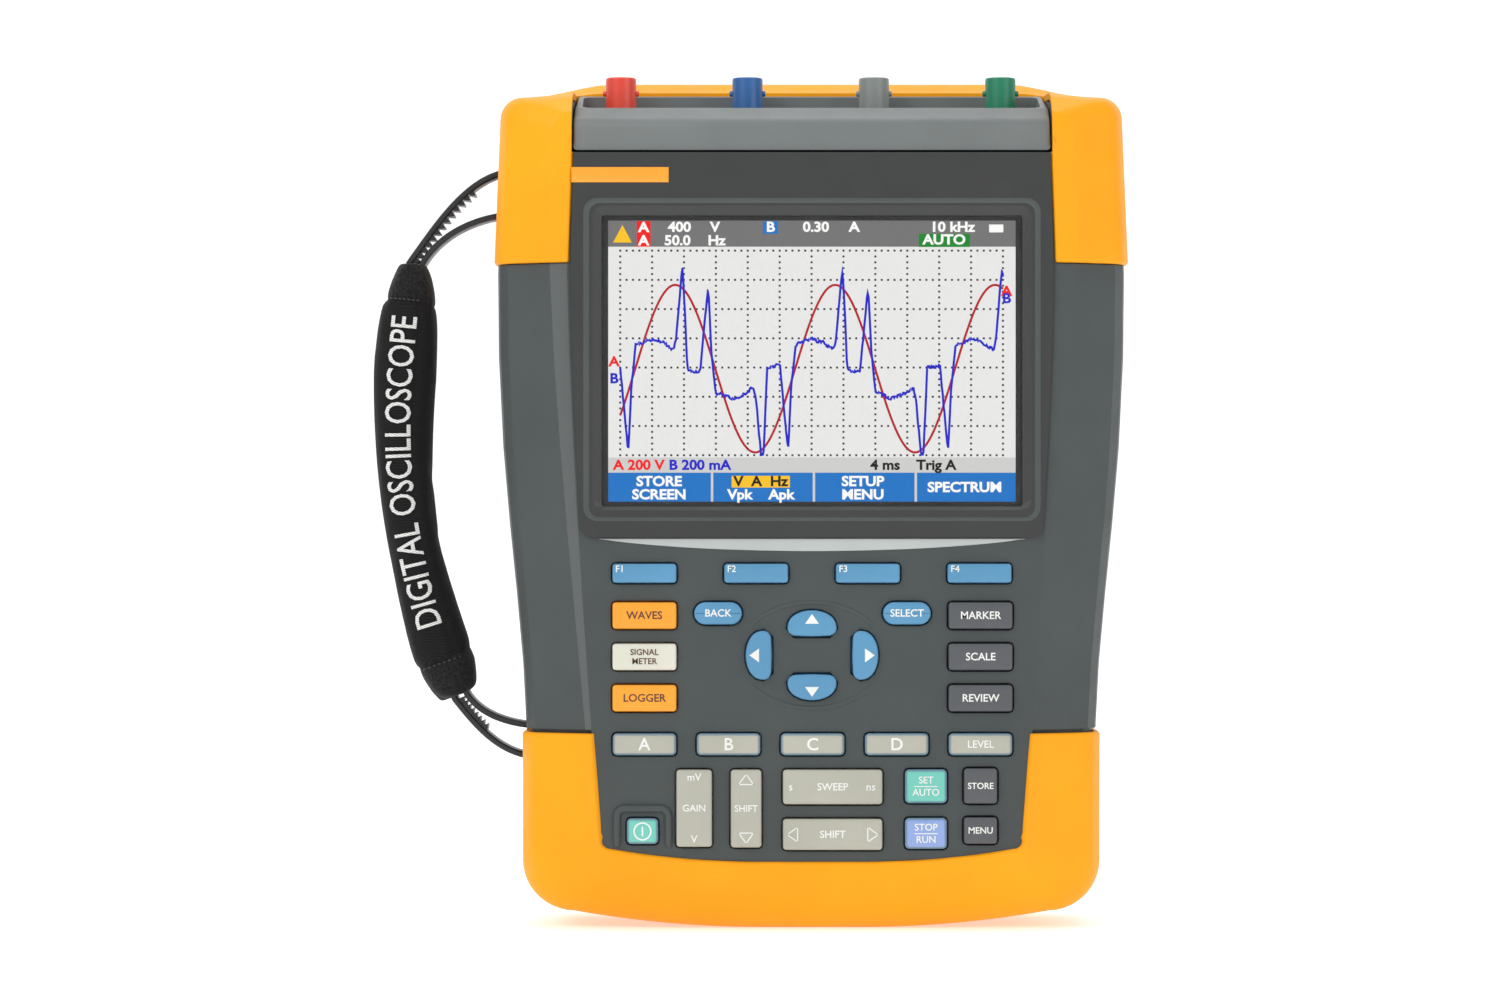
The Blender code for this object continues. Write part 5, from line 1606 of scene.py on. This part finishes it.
def battery_door():
    """The door's raised frame, its plate and its grip ribs."""
    dress_node("battery_door", CASE_GREY, 0.4)
    face = node_box("battery_door")[1][1]
    steps = ((-0.2, 0.0), (0.35, 0.0), (0.6, 0.3), (0.6, 1.6), (0.3, 1.9), (-0.2, 1.9))
    outer = rounded_rectangle((0, 58.0), (66.0, 50.0), 4.0)
    raised_frame("door_frame", outer, face, steps, CASE_GREY, "battery_door", "case_grey")
    rows_of_ribs("door_grip", "battery_door", (0, 100.0), 26.0, 5, 2.2, face, 0.6, CASE_GREY, "case_grey")
    plate = rounded_rectangle((0, 58.0), (52.0, 30.0), 1.2)
    rings = stepped(plate, ((face - 0.1, 0.0), (face + 0.12, 0.0), (face + 0.2, 0.1)))
    loft("door_plate", rings, PANEL_GREY, "battery_door", slot="case_grey")


def door_locks():
    """Quarter-turn fasteners: a knurled plated head with a coin slot."""
    for node in ("door_lock_left", "door_lock_right"):
        dress_node(node, STEEL, 0.25)
        top = node_box(node)[1][1]
        teeth = [circle(at, 0.22, 6) for at in circle(middle_of(node), 5.15, 30)]
        parts = [(*prism_data(tooth, top - 1.6, top - 0.25), 0) for tooth in teeth]
        multi(node + "_knurl", parts, STEEL, BODY_OF[node], slot="steel")


def stand():
    """The tilt stand keeps its CAD shape, softened, with a grip and raised rims round its window."""
    dress_node("tilt_stand", BUMPER, 0.5)
    foot = node_box("tilt_stand")[0][2]
    face = REAR + 3.4
    steps = ((-0.3, 0.0), (0.25, 0.0), (0.55, 0.4), (0.55, 1.5), (0.25, 1.9), (-0.3, 1.9))
    window = rounded_rectangle((0, foot + 36), (62 + 5.0, 34 + 5.0), 7.0)
    raised_frame("stand_rim", window, face, steps, BUMPER, "tilt_stand", "bumper_yellow")
    grip = (0, foot + 6.0)
    rows_of_ribs("stand_grip", "tilt_stand", grip, 40.0, 3, 2.4, face, 0.5, BUMPER, "bumper_yellow")
    dress_node("stand_hinge_pin", STEEL, 0.3)


def screws():
    """Case screws: domed plated heads deep in their wells, with a flat black cross painted on each as the
    shade of a cross recess.
    """
    for i in range(1, 5):
        node = f"case_screw_{i}"
        dress_node(node, STEEL, 0.2)
        x, z = middle_of(node)
        y = node_box(node)[1][1]
        parts = []
        # A thin black cross stands on each head: painted shade where a cross recess would be.
        for wide, tall in ((0.42, 1.9), (1.9, 0.42)):
            outline = corners(x - wide, z - tall, x + wide, z + tall)
            parts.append((*prism_data(outline, y - 0.2, y + 0.02), 0))
        multi(f"screw_recess_painted_shade_{i}", parts, BLACK, BODY_OF[node], slot="socket_black", smooth=0)


def port_cover():
    """The port cover's grip: four ribs across its outer face."""
    dress_node("port_cover", RUBBER, 0.35)
    low, high = node_box("port_cover")
    parts = []
    for i in range(4):
        z = (low[2] + high[2]) / 2 + (i - 1.5) * 2.2
        half = silhouette_half(z) + 0.2
        outline = corners(half - 0.4, low[1] + 7.5, half + 0.45, high[1] - 0.9)
        rings = [[Vector((x, y, h)) for x, y in outline] for h in (z - 0.45, z + 0.45)]
        parts.append((*loft_data(rings), 0))
    multi("port_cover_grip", parts, RUBBER, BODY_OF["port_cover"], slot="black_rubber", smooth=20)


def board_chips():
    """Plain blocks for the components on the main board."""
    parts = []
    rng = random.Random(3)
    low, high = node_box("main_board")
    y = high[1]
    for _ in range(26):
        x, z = rng.uniform(low[0] + 12, high[0] - 12), rng.uniform(low[2] + 90, high[2] - 12)
        w, h = rng.choice(((12, 12), (8, 5), (4, 6), (16, 9), (3, 3)))
        outline = corners(x - w / 2, z - h / 2, x + w / 2, z + h / 2)
        parts.append((*prism_data(outline, y - 0.05, y + rng.uniform(0.8, 2.4)), 0))
    multi("board_chips", parts, BLACK, "root", slot="socket_black", smooth=0)


battery_door()
door_locks()
stand()
screws()
port_cover()
dress_node("port_block", BLACK, 0.2)
dress_node("keymat", RUBBER)
dress_node("main_board", BOARD, 0.1)
dress_node("battery_pack", BEZEL)
board_chips()

# ---------------------------------------------------------------- stage


def stage():
    """A pale floor that bends up into a wall behind the object."""
    look = Look("floor", (0.86, 0.86, 0.86), 0.6)
    tone = look.ramp(look.noise(300.0), (0.84, 0.84, 0.84), (0.88, 0.88, 0.88))
    look.set({"Base Color": tone, "Emission Color": (1.0, 1.0, 1.0), "Emission Strength": 0.42})
    width, near, bend_from, bend, height = 12.0, -14.0, 2.2, 0.8, 4.0
    profile = [(near, 0.0), (bend_from, 0.0)]
    for step in range(1, 9):
        angle = math.pi / 2 * step / 8
        profile.append((bend_from + bend * math.sin(angle), bend * (1 - math.cos(angle))))
    profile.append((bend_from + bend, height))
    verts = [(x, y, z) for y, z in profile for x in (-width, width)]
    faces = [(2 * i, 2 * i + 1, 2 * i + 3, 2 * i + 2) for i in range(len(profile) - 1)]
    mesh = bpy.data.meshes.new("sweep")
    mesh.from_pydata(verts, [], faces)
    mesh.materials.append(look.material)
    mesh.shade_smooth()
    made = add_object("sweep", mesh)
    made.location.z = CAD_BOX[0][2] - 0.0002


def area_light(name, place, size, power):
    """A square soft light that looks at the middle of the instrument."""
    data = bpy.data.lights.new(name, "AREA")
    data.energy, data.size = power, size
    made = add_object(name, data)
    made.location = place
    made.rotation_euler = (Vector((0, 0, 0.13)) - Vector(place)).to_track_quat("-Z", "Y").to_euler()


def lights_and_camera():
    world = bpy.data.worlds.new("studio")
    world.use_nodes = True
    background = world.node_tree.nodes["Background"]
    background.inputs["Color"].default_value = (1, 1, 1, 1)
    background.inputs["Strength"].default_value = 0.53
    scene = bpy.context.scene
    scene.world = world
    area_light("key_left", (-1.1, -1.2, 1.2), 0.9, 11.5)
    area_light("fill_right", (1.2, -1.1, 0.7), 0.9, 4.5)
    area_light("top_soft", (0.0, 0.1, 1.5), 1.2, 10)
    distance, seen_width = 1.4, 0.465
    data = bpy.data.cameras.new("camera")
    data.sensor_width, data.lens = 36.0, 36.0 * distance / seen_width
    camera = add_object("camera", data)
    camera.location = (-0.0192, FRONT * MM - distance, 0.1336)
    camera.rotation_euler = (math.pi / 2, 0, 0)
    scene.camera = camera
    scene.view_settings.view_transform = "Standard"


stage()
lights_and_camera()
